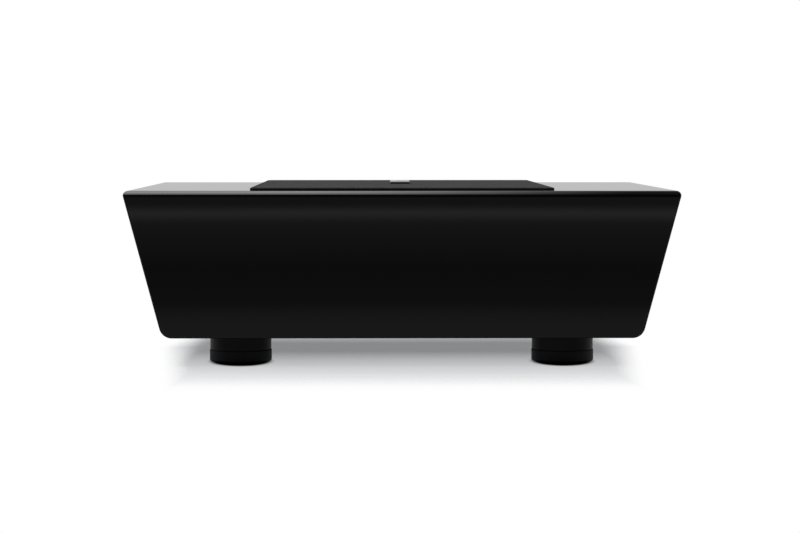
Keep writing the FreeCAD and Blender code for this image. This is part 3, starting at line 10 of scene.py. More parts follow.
import bmesh
import bpy
import numpy as np
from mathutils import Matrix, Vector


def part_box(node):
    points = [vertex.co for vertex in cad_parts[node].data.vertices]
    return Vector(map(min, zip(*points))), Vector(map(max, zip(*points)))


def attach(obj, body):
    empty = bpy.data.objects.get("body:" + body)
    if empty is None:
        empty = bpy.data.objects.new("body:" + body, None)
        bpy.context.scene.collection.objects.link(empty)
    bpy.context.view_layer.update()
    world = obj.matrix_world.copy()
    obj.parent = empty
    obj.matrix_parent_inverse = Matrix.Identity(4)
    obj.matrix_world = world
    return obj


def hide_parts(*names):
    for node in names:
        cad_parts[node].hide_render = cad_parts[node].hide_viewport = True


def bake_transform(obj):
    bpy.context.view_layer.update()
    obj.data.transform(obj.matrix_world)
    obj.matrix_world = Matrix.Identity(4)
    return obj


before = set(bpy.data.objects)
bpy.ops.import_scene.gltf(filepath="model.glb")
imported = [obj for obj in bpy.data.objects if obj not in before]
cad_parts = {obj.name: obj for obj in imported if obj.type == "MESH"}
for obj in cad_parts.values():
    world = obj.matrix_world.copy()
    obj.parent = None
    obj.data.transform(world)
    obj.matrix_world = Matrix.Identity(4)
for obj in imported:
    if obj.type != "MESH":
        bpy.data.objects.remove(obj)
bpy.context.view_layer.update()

# %% [markdown]
# ## The camera
#
# The picture was taken from just above the top face, straight at the front. A long lens keeps
# the sides from spreading, and a tilt of three degrees shows the top as a thin strip. With lens
# and angle set by numbers, the view can be repeated.

# %% Camera
LOOK_DOWN, LOOK_RIGHT = 3.322, 0.70  # degrees
camera = bpy.data.objects.new("camera", bpy.data.cameras.new("camera"))
bpy.context.scene.collection.objects.link(camera)
camera.location = (-0.021, -1.725, 0.162)
camera.rotation_euler = np.radians((90 - LOOK_DOWN, 0, -LOOK_RIGHT))
camera.data.lens = 101.35
camera.data.sensor_width = 36
bpy.context.scene.camera = camera
bpy.context.scene.view_settings.view_transform = "Standard"
print("camera at", tuple(round(v, 3) for v in camera.location))

# %% [markdown]
# ## Words for nodes
#
# A material is a small graph. Written out node by node it takes pages, so a few helpers say the
# same in a line. The first two add a node and fill its inputs: another node's output is linked,
# and anything else is set as a value. The others do arithmetic, fades, blends and tone curves.

# %% Node helpers
def fill(tree, node, inputs):
    """Links or sets each named or numbered input of a node."""
    for name, value in inputs.items():
        if isinstance(value, bpy.types.NodeSocket):
            tree.links.new(value, node.inputs[name])
        else:
            node.inputs[name].default_value = value


def add(tree, kind, inputs=None, **settings):
    """Adds a node, sets its own settings and fills its inputs."""
    node = tree.nodes.new("ShaderNode" + kind)
    for name, value in settings.items():
        setattr(node, name, value)
    fill(tree, node, inputs or {})
    return node


def maths(tree, operation, *values):
    """The result of one arithmetic step on links or numbers."""
    return add(tree, "Math", dict(enumerate(values)), operation=operation).outputs[0]


def times(tree, a, b):
    """The product of two links or numbers."""
    return maths(tree, "MULTIPLY", a, b)


def sloped(tree, value, slope, start):
    """The value times the slope, plus the start."""
    return maths(tree, "MULTIPLY_ADD", value, slope, start)


def fade(tree, value, start, end, low=0.0, high=1.0, soft=True):
    """A link that goes from low to high while the value goes from start to end, and stays level
    outside them."""
    kind = "SMOOTHSTEP" if soft else "LINEAR"
    limits = {"Value": value, "From Min": start, "From Max": end, "To Min": low, "To Max": high}
    return add(tree, "MapRange", limits, interpolation_type=kind).outputs[0]


def tint(tree, share, a, b):
    """Colour a where the share is 0, colour b where it is 1, and a blend of the two between."""
    return add(tree, "Mix", {0: share, 6: a, 7: b}, data_type="RGBA").outputs[2]


def grey(level, warmth=0.0):
    """A grey as a colour, a little warmer or cooler."""
    return (level * (1 + warmth), level, level * (1 - warmth), 1)


def tone_curve(tree, value, stops):
    """A grey that goes in straight lines from one stop to the next, each given as (value, level)."""
    first, last = stops[0][0], stops[-1][0]
    node = add(tree, "ValToRGB", {0: fade(tree, value, first, last, soft=False)})
    for _ in stops[2:]:
        node.color_ramp.elements.new(0.5)
    for stop, (place, level) in zip(node.color_ramp.elements, stops):
        stop.position = (place - first) / (last - first)
        stop.color = grey(level)
    return node.outputs["Color"]


def axes(tree, vector):
    """The X, Y and Z of a place or direction."""
    return add(tree, "SeparateXYZ", {0: vector}).outputs


def facing(tree):
    """The X, Y and Z of the direction that the surface faces."""
    return axes(tree, add(tree, "NewGeometry").outputs["Normal"])


print("node helpers ready")

# %% [markdown]
# ## The studio
#
# Black gloss has hardly any colour of its own: what it shows is the room. The camera sees plain
# white behind the object. Matt surfaces get an even pale light from all round. Gloss sees a dim
# front with one pale line low down, a light rear wall, and a large soft box overhead that fades
# out to the right. That box makes the pale band along the rounded front edge of the top.

# %% World: what camera, matt and gloss surfaces see
world = bpy.data.worlds.new("studio")
bpy.context.scene.world = world
world.use_nodes = True
room = world.node_tree
room.nodes.clear()
toward = axes(room, add(room, "TexCoord").outputs["Generated"])
# Below the horizon: (height of the direction, level). The stop over 1 is the pale line.
low_wall = [(-0.12, 0.46), (-0.085, 0.50), (-0.079, 0.40), (-0.074, 0.20), (-0.058, 0.16),
            (-0.038, 0.36), (-0.034, 1.05), (-0.0315, 0.38), (-0.0295, 0.22), (-0.0265, 0.36),
            (0.0, 0.30)]
below = tone_curve(room, toward["Z"], low_wall)
dim = tint(room, fade(room, toward["X"], -0.15, 0.2), grey(0.14), grey(0.03))
sky = tint(room, fade(room, toward["Y"], -0.3, 0.35), dim, grey(0.60))
seen = tint(room, fade(room, toward["Z"], -0.002, 0.004), below, sky)
path = add(room, "LightPath").outputs
gloss_ray = maths(room, "MAXIMUM", path["Is Glossy Ray"], path["Is Transmission Ray"])
light = tint(room, gloss_ray, grey(0.70), seen)
light = tint(room, path["Is Camera Ray"], light, grey(1.0))
add(room, "OutputWorld", {0: add(room, "Background", {"Color": light}).outputs[0]})
print("world ready, with", len(low_wall), "levels below the horizon")

# %% [markdown]
# ## Surfaces as grids
#
# Nearly every piece built here is a grid of points, with a face between each four neighbours. A
# disc is a grid whose columns go round, and in a ring the rows go round as well. A formula gives
# all the points at once, as an array, so no loop visits them one by one.

# %% Grid helpers
def quads(rows, columns, round_rows=False, round_columns=False):
    """Corner numbers of a grid's faces: each point with its next neighbours both ways, the last
    row or column joined to the first where the grid goes round."""
    row, column = np.meshgrid(np.arange(rows - (not round_rows)),
                              np.arange(columns - (not round_columns)), indexing="ij")
    after_row, after_column = (row + 1) % rows, (column + 1) % columns
    corners = [row * columns + column, row * columns + after_column,
               after_row * columns + after_column, after_row * columns + column]
    return np.stack(corners, -1).reshape(-1, 4)


def make_mesh(name, points, faces, flat_map=None):
    """A smooth mesh object at the origin, with its place in its points, in metres. A flat map
    gives each point's place on the cloth laid flat, also in metres."""
    mesh = bpy.data.meshes.new(name)
    mesh.from_pydata(np.reshape(points, (-1, 3)), [], np.asarray(faces).tolist())
    if flat_map is not None:
        corner = np.zeros(len(mesh.loops), np.int32)
        mesh.loops.foreach_get("vertex_index", corner)
        layer = mesh.uv_layers.new(name="flat")
        layer.data.foreach_set("uv", np.reshape(flat_map, (-1, 2))[corner].ravel())
    mesh.polygons.foreach_set("use_smooth", np.ones(len(mesh.polygons), bool))
    mesh.update()
    made = bpy.data.objects.new(name, mesh)
    bpy.context.scene.collection.objects.link(made)
    return made


def close_up(made, turn_out=True):
    """Merges points that coincide, so that poles and seams close, and turns the faces outwards."""
    work = bmesh.new()
    work.from_mesh(made.data)
    bmesh.ops.remove_doubles(work, verts=work.verts, dist=2e-7)
    if turn_out:
        bmesh.ops.recalc_face_normals(work, faces=work.faces)
    work.to_mesh(made.data)
    work.free()
    return made


def spun(profile, count):
    """A profile of (radius, height) carried round the Z axis: the radius times the cosine and the
    sine of the turn, at its height."""
    radius, height = np.asarray(profile).T[:, :, None]
    turn = np.linspace(0, 2 * np.pi, count, endpoint=False)
    return np.stack([radius * np.cos(turn), radius * np.sin(turn), height + 0 * turn], -1)


def points_of(mesh):
    """The places of a mesh's points, as an array."""
    where = np.zeros(len(mesh.vertices) * 3, np.float32)
    mesh.vertices.foreach_get("co", where)
    return where.reshape(-1, 3)


def middle_of(node):
    """The middle of a part's box and half its size, each as (x, y, z)."""
    low, high = (np.array(corner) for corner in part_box(node))
    return (low + high) / 2, (high - low) / 2


print("grid helpers ready")

# %% [markdown]
# ## Floor
#
# The floor is a pale disc just under the feet that keeps the soft shadow of the body. It fades
# into the white world before its edge shows, and from below it is clear.

# %% Floor disc
def new_material(name):
    """An empty node material: its tree, its Principled shader and itself."""
    material = bpy.data.materials.new(name)
    material.use_nodes = True
    tree = material.node_tree
    tree.nodes.clear()
    shader = add(tree, "BsdfPrincipled")
    add(tree, "OutputMaterial", {"Surface": shader.outputs[0]})
    return material, tree, shader


def show_instead(tree, shader, other):
    """Takes the Principled shader out and shows another shader in its place."""
    tree.nodes.remove(shader)
    tree.links.new(other.outputs[0], tree.nodes["Material Output"].inputs["Surface"])


def disc(radius, rings, around, height):
    """Points of a flat disc: the radius times the sine and the cosine of the turn, for rings of
    growing radius."""
    r, turn = np.meshgrid(np.linspace(0, radius, rings),
                          np.linspace(0, 2 * np.pi, around, endpoint=False), indexing="ij")
    return np.stack([r * np.sin(turn), r * np.cos(turn), 0 * r + height], -1)


FLOOR_RADIUS = 0.75
FLOOR_DROP = 0.0002  # below the feet, so that floor and feet share no face
FLOOR_GRID = (12, 96)  # rings, points round
floor = make_mesh("floor", disc(FLOOR_RADIUS, *FLOOR_GRID, -FLOOR_DROP),
                  quads(*FLOOR_GRID, round_columns=True))
floor_paint, tree, shader = new_material("pale_floor")
floor.data.materials.append(floor_paint)
print("floor disc, metres across:", round(floor.dimensions.x, 2))

# %% [markdown]
# ## Painted shadows at the front feet
#
# Close to a foot the floor is painted black: a painted shadow for the shade where no light gets
# in. It is an ellipse round the foot's middle, stretched forwards and drawn in a little at its far
# end. The root of the sum of two squares is 1 on the ellipse, and the floor fades from the
# painted black to open across that line.

# %% Painted contact shadow
PAINTED_SHADOW_STRETCH = 1.72  # how long the ellipse is for its width
PAINTED_SHADOW_DRAW_IN = 0.35  # share of the foot's distance from the middle, per metre forwards
PAINTED_SHADOW_EDGE = (0.85, 1.13)  # where the fade starts and ends, 1 being on the ellipse
PAINTED_SHADOW_BACK = (0.004, -0.020)  # metres ahead of the foot's middle, where the patch ends backwards
at = axes(tree, add(tree, "TexCoord").outputs["Object"])
outside_painted_shadow = 1.0
for where in ("front_left", "front_right"):
    (middle_x, middle_y, _), (reach, _, _) = middle_of("foot_pad_" + where)
    forward = maths(tree, "SUBTRACT", middle_y, at["Y"])
    centre = sloped(tree, forward, -PAINTED_SHADOW_DRAW_IN * middle_x, middle_x)
    across = maths(tree, "DIVIDE", maths(tree, "SUBTRACT", at["X"], centre), reach)
    along = maths(tree, "DIVIDE", forward, PAINTED_SHADOW_STRETCH * reach)
    squares = [times(tree, share, share) for share in (across, along)]
    distance = maths(tree, "SQRT", maths(tree, "ADD", *squares))
    clear_of_painted_shadow = maths(tree, "MAXIMUM", fade(tree, distance, *PAINTED_SHADOW_EDGE), fade(tree, forward, *PAINTED_SHADOW_BACK))
    outside_painted_shadow = times(tree, outside_painted_shadow, clear_of_painted_shadow)
print("foot patches reach forwards, millimetres:", round(1000 * PAINTED_SHADOW_STRETCH * reach, 1))

# %% [markdown]
# ## Paint of the floor
#
# The floor is matt and a little cool. A weak glow, which matt surfaces don't get, lifts its
# shadow to the tone that it has in the picture. The floor fades out at the sides, and by a tone
# curve to the front and the rear.

# %% Floor paint
COOL = -0.03  # warmth of the floor's greys
GLOW = 0.25
SIDE_FADE = (0.152, 0.186)  # metres to the side where the floor starts and ends its fade
SIDE_FLARE = 0.10  # how much a metre ahead counts as a distance to the side
# Metres in front of or behind the middle, and the share of the floor that has faded there.
# These stops paint how the body's shadow lightens outwards: painted shade, not lamp falloff.
front_fade = [(0.035, 0.0), (0.10, 0.27), (0.13, 0.345), (0.155, 0.29), (0.17, 0.30),
              (0.205, 0.42), (0.235, 0.61), (0.272, 0.93), (0.30, 1.0)]
beside, ahead = (maths(tree, "ABSOLUTE", at[name]) for name in ("X", "Y"))
not_matt = maths(tree, "SUBTRACT", 1.0, add(tree, "LightPath").outputs["Is Diffuse Ray"])
# Inside the painted shadow at the feet the glow goes out and the matt colour turns black.
strength = times(tree, times(tree, not_matt, outside_painted_shadow), GLOW)
glow = add(tree, "Emission", {"Color": grey(1.0, COOL), "Strength": strength})
matt = add(tree, "BsdfDiffuse", {"Color": tint(tree, outside_painted_shadow, grey(0.0), grey(0.45, COOL))})
lit = add(tree, "AddShader", {0: glow.outputs[0], 1: matt.outputs[0]})
outer = sloped(tree, ahead, SIDE_FLARE, beside)
gone = maths(tree, "MAXIMUM", fade(tree, outer, *SIDE_FADE), tone_curve(tree, ahead, front_fade))
gone = times(tree, gone, outside_painted_shadow)
gone = maths(tree, "MAXIMUM", gone, add(tree, "NewGeometry").outputs["Backfacing"])
clear = add(tree, "BsdfTransparent").outputs[0]
show_instead(tree, shader, add(tree, "MixShader", {0: gone, 1: lit.outputs[0], 2: clear}))
print("floor fades out over", len(front_fade), "stops")

# %% [markdown]
# ## Soft box
#
# The soft box is a lit sheet overhead that the camera cannot see. It fades out to the right.
# Gloss sees it brighter than matt surfaces do, for a pale top that doesn't wash out the rest.

# %% Soft box
BOX_HEIGHT = 1.35
BOX_DIMMEST = 0.035
MATT_STRENGTH, GLOSS_EXTRA = 2.0, 6.4
sheet_x, sheet_y = np.meshgrid([-1.0, 0.5], [-1.05, 0.75], indexing="ij")
soft_box = make_mesh("soft_box", np.stack([sheet_x, sheet_y, 0 * sheet_x + BOX_HEIGHT], -1), quads(2, 2))
box_light, tree, shader = new_material("soft_box_light")
beside = axes(tree, add(tree, "TexCoord").outputs["Object"])["X"]
dimming = maths(tree, "POWER", fade(tree, beside, 0.40, -0.20), 1.2)
dimming = maths(tree, "MAXIMUM", dimming, BOX_DIMMEST)
gloss_ray = add(tree, "LightPath").outputs["Is Glossy Ray"]
strength = sloped(tree, gloss_ray, GLOSS_EXTRA, MATT_STRENGTH)
strength = times(tree, strength, dimming)
show_instead(tree, shader, add(tree, "Emission", {"Color": grey(1.0), "Strength": strength}))
soft_box.data.materials.append(box_light)
soft_box.visible_camera = False
print("soft box height:", round(soft_box.bound_box[0][2], 2))

# %% [markdown]
# ## Effects that several finishes share
#
# A real surface is never one flat tone. Five effects cover most of what is seen here: clouds,
# which make a tone drift, the grain of moulded plastic, the lines of drawn metal, the crossing
# threads of a weave, and specks of dust. Each is a node group, made once. A group gives out
# masks and heights only, and the shader stays in the material.

# %% Node groups
BEAD_ROUNDNESS = 0.6  # power of the sine across a thread: under 1 is fuller than a sine


def new_group(name, inputs, outputs):
    """An empty shader node group with named number or vector inputs and number outputs."""
    group = bpy.data.node_groups.new(name, "ShaderNodeTree")
    for socket, value in inputs.items():
        kind = "NodeSocketVector" if value is None else "NodeSocketFloat"
        made = group.interface.new_socket(socket, in_out="INPUT", socket_type=kind)
        if value is not None:
            made.default_value = value
    for socket in outputs:
        group.interface.new_socket(socket, in_out="OUTPUT", socket_type="NodeSocketFloat")
    return group, group.nodes.new("NodeGroupInput").outputs, group.nodes.new("NodeGroupOutput").inputs


def noise(group, given, detail):
    """Noise at the place and scale that are given to a group."""
    inputs = {"Vector": given["Vector"], "Scale": given["Scale"], "Detail": detail}
    return add(group, "TexNoise", inputs).outputs[0]


clouds, given, out = new_group("clouds", {"Vector": None, "Scale": 30.0}, ["Mask"])
clouds.links.new(fade(clouds, noise(clouds, given, 4.0), 0.35, 0.65), out["Mask"])

grain, given, out = new_group("moulded_grain", {"Vector": None, "Scale": 1500.0}, ["Height"])
pits = add(grain, "TexVoronoi", {"Vector": given["Vector"], "Scale": given["Scale"]}, feature="SMOOTH_F1")
swell = times(grain, noise(grain, given, 2.0), 0.4)
grain.links.new(sloped(grain, pits.outputs[0], 0.6, swell), out["Height"])

lines, given, out = new_group("drawn_lines", {"Vector": None, "Scale": 3000.0}, ["Height"])
lines.links.new(noise(lines, given, 3.0), out["Height"])

weave, given, out = new_group("crossing_threads", {"Vector": None, "Pitch": 0.001}, ["Height", "Thread"])
per_metre = maths(weave, "DIVIDE", 1.0, given["Pitch"])
threads = add(weave, "VectorMath", {0: given["Vector"], "Scale": per_metre}, operation="SCALE")
passed = axes(weave, threads.outputs[0])
waves = [maths(weave, "SINE", times(weave, passed[name], np.pi)) for name in ("X", "Y")]
bulges = [maths(weave, "POWER", maths(weave, "ABSOLUTE", wave), BEAD_ROUNDNESS) for wave in waves]
weave.links.new(times(weave, *bulges), out["Height"])
weave.links.new(fade(weave, times(weave, *waves), -0.1, 0.1), out["Thread"])

dust, given, out = new_group("dust_specks", {"Vector": None, "Scale": 900.0, "Share": 0.1}, ["Mask"])
threshold = maths(dust, "SUBTRACT", 0.85, given["Share"])
settled = fade(dust, facing(dust)["Z"], 0.2, 0.9)
specks = fade(dust, noise(dust, given, 1.0), threshold, 0.9)
dust.links.new(times(dust, specks, settled), out["Mask"])
print("groups:", sorted(g.name for g in bpy.data.node_groups))

# %% [markdown]
# ## How a finish is put together
#
# Each finish takes the same steps: start a material for a slot, place the effects that it needs,
# mix them into a colour and a roughness, and hand those to the shader with a height for the
# bump. The bump's depth is in metres: a grain of 0.03 mm is 0.00003.

# %% Helpers that place a group and finish a material
def effect(tree, group, vector, **values):
    """Places an effect group in a material, with its own values."""
    node = add(tree, "Group", node_tree=group)
    fill(tree, node, {"Vector": vector, **values})
    return node.outputs


def cloudy(tree, vector, scale):
    """The mask of the clouds effect, with so many clouds to a metre."""
    return effect(tree, clouds, vector, Scale=scale)["Mask"]


def stretched(tree, vector, x, y, z):
    """The same coordinates, squeezed along some directions so that a pattern is drawn out there."""
    return add(tree, "VectorMath", {0: vector, 1: (x, y, z)}, operation="MULTIPLY").outputs[0]


def finish(tree, shader, colour, roughness, height, depth, **more):
    """Feeds colour, roughness and a bump of the given depth in metres into the shader."""
    bump = add(tree, "Bump", {"Distance": depth, "Height": height}).outputs[0]
    fill(tree, shader, {"Base Color": colour, "Roughness": roughness, "Normal": bump, **more})


finishes = {}


def start_finish(slot, scale):
    """Starts the material for a slot: its tree, its shader, the place on the object and a slow
    drift of tone, with so many clouds to a metre."""
    finishes[slot], tree, shader = new_material("made_" + slot)
    place = add(tree, "TexCoord").outputs["Object"]
    return tree, shader, place, cloudy(tree, place, scale)


print("finish helpers ready")

# %% [markdown]
# ## Lacquer on fibreboard
#
# The cabinet is fibreboard with a thick black lacquer: a clear coat over near black. The coat's
# own refraction is set a little low, so that the front stays as deep a black as in the picture
# while the top, seen at a grazing angle, turns pale. Only the outside is lacquered, and inside
# the raw board shows, so the distance to the outer faces chooses between the two.

# %% Lacquer
HALF_TOP = 0.1965  # from the middle to the sharp top corner, before it is rounded
LEAN = np.tan(np.radians(15))  # how far the side leans out for each metre up
RAW_BOARD = ((0.42, 0.30, 0.19, 1), (0.56, 0.43, 0.29, 1))
low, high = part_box("cabinet_shell")
tree, shader, place, haze = start_finish("lacquer", 14.0)
at = axes(tree, place)
side = sloped(tree, at["Z"], LEAN, HALF_TOP - high.z * LEAN)
# How far a point lies inside each outer face, and how deep the lacquer counts there.
skins = ((maths(tree, "SUBTRACT", side, maths(tree, "ABSOLUTE", at["X"])), 0.005),
         (maths(tree, "SUBTRACT", high.y, maths(tree, "ABSOLUTE", at["Y"])), 0.004),
         (maths(tree, "SUBTRACT", high.z, at["Z"]), 0.0085),
         (maths(tree, "SUBTRACT", at["Z"], low.z), 0.004))
outside = 0.0
for inwards, skin in skins:
    outside = maths(tree, "MAXIMUM", outside, maths(tree, "LESS_THAN", inwards, skin))
fibre = cloudy(tree, stretched(tree, place, 1, 0.35, 1), 900.0)
tone = cloudy(tree, place, 25.0)
raw = tint(tree, fibre, *RAW_BOARD)
raw = tint(tree, times(tree, tone, 0.3), raw, (0.36, 0.25, 0.15, 1))
specks = effect(tree, dust, place, Scale=1400.0, Share=0.06)["Mask"]
black = tint(tree, times(tree, specks, 0.25), (0.0014, 0.0014, 0.0016, 1), grey(0.10))
peel = add(tree, "TexNoise", {"Vector": place, "Scale": 260.0, "Detail": 1.0}).outputs[0]
gloss = sloped(tree, haze, 0.05, 0.30)
roughness = fade(tree, outside, 0.0, 1.0, 0.85, gloss, soft=False)
depth = fade(tree, outside, 0.0, 1.0, fibre, times(tree, peel, 0.02), soft=False)
# The underside is lacquered too, but nobody polishes it.
polished = fade(tree, facing(tree)["Z"], -0.75, -0.45, 0.08, 1.0)
finish(tree, shader, tint(tree, outside, raw, black), roughness, depth, 0.00012,
       **{"Coat Weight": times(tree, outside, polished), "Coat Roughness": 0.025,
          "Coat IOR": 1.3, "Specular IOR Level": 0.0})
print("lacquer ready")

# %% [markdown]
# ## Plastics and rubbers
#
# Feet, tray, port, switches and knobs are moulded. They share one recipe: a dark base that
# drifts a little in tone, grain from the mould as a bump, roughness that clouds over, and dust on
# what faces up. Only the values differ, so one table holds them.

# %% Moulded parts
moulded = {
    # slot: base level, warmth, roughness, grain per metre, grain depth, dust
    "foot_body": (0.0012, 0.0, 0.32, 1900.0, 0.00003, 0.03),
    "foot_pad": (0.0048, 0.02, 0.50, 1300.0, 0.00006, 0.05),
    "grille_plastic": (0.020, 0.0, 0.45, 1500.0, 0.00004, 0.05),
    "port_plastic": (0.014, 0.0, 0.38, 1700.0, 0.00003, 0.06),
    "tray_plastic": (0.018, 0.0, 0.50, 1100.0, 0.00008, 0.06),
    "socket_plastic": (0.022, 0.0, 0.40, 2000.0, 0.00003, 0.05),
    "control_plastic": (0.026, 0.0, 0.36, 2200.0, 0.00002, 0.05),
    "button_plastic": (0.26, 0.0, 0.42, 2000.0, 0.00002, 0.02),
    "badge_base": (0.003, 0.0, 0.30, 600.0, 0.00001, 0.03),
    "surround_rubber": (0.017, 0.02, 0.48, 900.0, 0.00003, 0.08),
    "black_steel": (0.018, 0.0, 0.42, 2600.0, 0.00003, 0.05),
}
for slot, (level, warmth, rough, scale, depth, share) in moulded.items():
    tree, shader, place, drift = start_finish(slot, 60.0)
    pale = effect(tree, dust, place, Share=share)["Mask"]
    colour = tint(tree, drift, grey(level * 0.85, warmth), grey(level * 1.2, warmth))
    colour = tint(tree, times(tree, pale, 0.3), colour, grey(0.25))
    dull = sloped(tree, drift, 0.08, rough)
    sheen = 0.15 if slot.startswith("foot") else 0.5
    finish(tree, shader, colour, dull, effect(tree, grain, place, Scale=scale)["Height"], depth,
           **{"Specular IOR Level": sheen})
print("moulded finishes:", len(moulded))

# %% [markdown]
# ## Metals
#
# Turned and rolled metal keeps the marks of the tool. Squeezing the noise along one direction
# draws it out into lines: round the axis on turned parts, straight along on rolled sheet. A zinc
# coat also drifts between slightly blue and slightly yellow.

# %% Bare metals
metals = {
    # slot: colour, second colour, roughness, squeeze of the lines, depth of the lines
    "zinc_steel": ((0.60, 0.61, 0.64, 1), (0.66, 0.64, 0.56, 1), 0.30, (0.15, 0.15, 1.0), 0.00002),
    "badge_plate": ((0.31, 0.31, 0.32, 1), (0.37, 0.37, 0.38, 1), 0.46, (0.03, 1.0, 1.0), 0.000006),
    "heatsink": ((0.62, 0.62, 0.64, 1), (0.72, 0.72, 0.73, 1), 0.35, (0.04, 1.0, 1.0), 0.00002),
    "former_foil": ((0.72, 0.72, 0.74, 1), (0.82, 0.82, 0.82, 1), 0.22, (1.0, 1.0, 0.2), 0.00002),
    "coil_wire": ((0.62, 0.27, 0.10, 1), (0.78, 0.40, 0.18, 1), 0.28, (0.02, 0.02, 1.0), 0.00006),
    "contact_metal": ((0.74, 0.74, 0.75, 1), (0.84, 0.83, 0.80, 1), 0.18, (1.0, 0.1, 1.0), 0.00001),
}
for slot, (first, second, rough, squeeze, depth) in metals.items():
    tree, shader, place, drift = start_finish(slot, 90.0)
    marks = effect(tree, lines, stretched(tree, place, *squeeze), Scale=4000.0)["Height"]
    dull = sloped(tree, marks, 0.14, rough - 0.05)
    colour, share = tint(tree, drift, first, second), 1.0
    if slot == "badge_plate":
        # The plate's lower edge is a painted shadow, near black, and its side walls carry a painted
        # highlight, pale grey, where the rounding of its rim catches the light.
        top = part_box(slot)[1].z
        above_painted_shadow = fade(tree, axes(tree, place)["Z"], top - 0.0013, top - 0.0011)
        # Walls that don't face up take a pale grey: a painted highlight.
        colour = tint(tree, fade(tree, facing(tree)["Z"], 0.4, 0.9), grey(0.92), colour)
        # The lowest band takes a near black: a painted shadow under the plate.
        colour, share = tint(tree, above_painted_shadow, grey(0.004), colour), times(tree, above_painted_shadow, 0.25)
    finish(tree, shader, colour, dull, marks, depth, Metallic=share)
print("metal finishes:", len(metals))

# %% [markdown]
# ## Board, paper and foam
#
# Paper pulp and board show fibres, and foam shows cells. Each gets the one pattern that tells
# what it is, drawn out along its fibres.

# %% Fibrous and porous parts
soft_parts = {
    # slot: colour, second colour, roughness, cells or fibres per metre, stretch, depth
    "fibreboard": (*RAW_BOARD, 0.85, 900.0, (1, 0.3, 1), 0.0001),
    "wadding": ((0.62, 0.62, 0.59, 1), (0.86, 0.86, 0.83, 1), 0.95, 500.0, (0.5, 1, 1.5), 0.0012),
    "foam": ((0.018, 0.018, 0.018, 1), (0.040, 0.040, 0.040, 1), 0.9, 1400.0, (1, 1, 1), 0.0002),
    "ferrite": ((0.055, 0.055, 0.060, 1), (0.10, 0.10, 0.105, 1), 0.7, 1200.0, (1, 1, 1), 0.00005),
    "cone_paper": ((0.018, 0.018, 0.018, 1), (0.040, 0.040, 0.041, 1), 0.62, 700.0, (1, 1, 1), 0.00015),
    "tag_board": ((0.20, 0.09, 0.035, 1), (0.30, 0.15, 0.07, 1), 0.6, 1100.0, (0.2, 1, 1), 0.00005),
}
for slot, (first, second, rough, scale, pull, depth) in soft_parts.items():
    tree, shader, place, drift = start_finish(slot, 40.0)
    fibre = cloudy(tree, stretched(tree, place, *pull), scale)
    colour = tint(tree, fibre, first, second)
    colour = tint(tree, times(tree, drift, 0.35), colour, first)
    finish(tree, shader, colour, sloped(tree, fibre, 0.05, rough - 0.05), fibre, depth)
print("fibrous finishes:", len(soft_parts))

# %% [markdown]
# ## Wires, board and cans
#
# The rest are one of a kind. One of the two speaker leads is red. The circuit board is a brick
# pattern of tracks, a capacitor has a bare metal end on a dark sleeve, and the transformer's core
# is a stack of sheets. The wireless module is a blue board, and the status light glows faintly.

# %% One of a kind
tree, shader, place, drift = start_finish("lead", 200.0)
red = tint(tree, drift, (0.42, 0.02, 0.015, 1), (0.55, 0.035, 0.03, 1))
on_right = maths(tree, "GREATER_THAN", axes(tree, place)["X"], 0.0)
finish(tree, shader, tint(tree, on_right, grey(0.02), red), sloped(tree, drift, 0.1, 0.35),
       drift, 0.00002)

tree, shader, place, drift = start_finish("circuit_board", 60.0)
tracks = add(tree, "TexBrick", {"Vector": place, "Scale": 90.0, "Mortar Size": 0.03,
                                "Color1": grey(1.0), "Color2": grey(0.8), "Mortar": grey(0.0)})
mask = tint(tree, drift, (0.012, 0.10, 0.045, 1), (0.02, 0.15, 0.065, 1))
colour = tint(tree, tracks.outputs["Fac"], mask, (0.05, 0.26, 0.10, 1))
finish(tree, shader, colour, sloped(tree, drift, 0.1, 0.3), tracks.outputs["Fac"], 0.00004)

tree, shader, place, drift = start_finish("can_sleeve", 150.0)
cap = maths(tree, "LESS_THAN", facing(tree)["Y"], -0.9)
sleeve = tint(tree, drift, (0.012, 0.014, 0.045, 1), (0.02, 0.022, 0.06, 1))
finish(tree, shader, tint(tree, cap, sleeve, grey(0.70)), sloped(tree, drift, 0.1, 0.25),
       drift, 0.00002, Metallic=cap)

tree, shader, place, drift = start_finish("core", 120.0)
sheets = add(tree, "TexWave", {"Vector": place, "Scale": 320.0, "Distortion": 0.4}, bands_direction="Y")
colour = tint(tree, sheets.outputs["Fac"], (0.07, 0.07, 0.075, 1), (0.16, 0.15, 0.15, 1))
finish(tree, shader, tint(tree, times(tree, drift, 0.4), colour, grey(0.05)),
       sloped(tree, drift, 0.15, 0.4), sheets.outputs["Fac"], 0.0001)


def two_tone(slot, scale, first, second, rough, spread, depth, **more):
    """A finish of two close colours that drift into each other."""
    tree, shader, _, drift = start_finish(slot, scale)
    finish(tree, shader, tint(tree, drift, first, second), sloped(tree, drift, spread, rough),
           drift, depth, **more)


two_tone("module", 180.0, (0.010, 0.035, 0.12, 1), (0.02, 0.06, 0.18, 1), 0.3, 0.1, 0.00003)
two_tone("light", 400.0, (0.10, 0.26, 0.62, 1), (0.16, 0.38, 0.80, 1), 0.15, 0.06, 0.00001,
         **{"Emission Color": (0.1, 0.35, 1.0, 1), "Emission Strength": 0.25})
print("finishes so far:", len(finishes))

# %% [markdown]
# ## Cloths
#
# The grille cloth is a coarse black weave of round threads, about 1.45 mm from one to the next.
# The spider, the springy disc that centres the voice coil, is a finer weave dipped in amber
# resin. Both patterns read the piece's own flat map, in metres along the cloth, and so follow it
# round a bend.

# %% Woven finishes
THREAD_PITCH = 0.00145


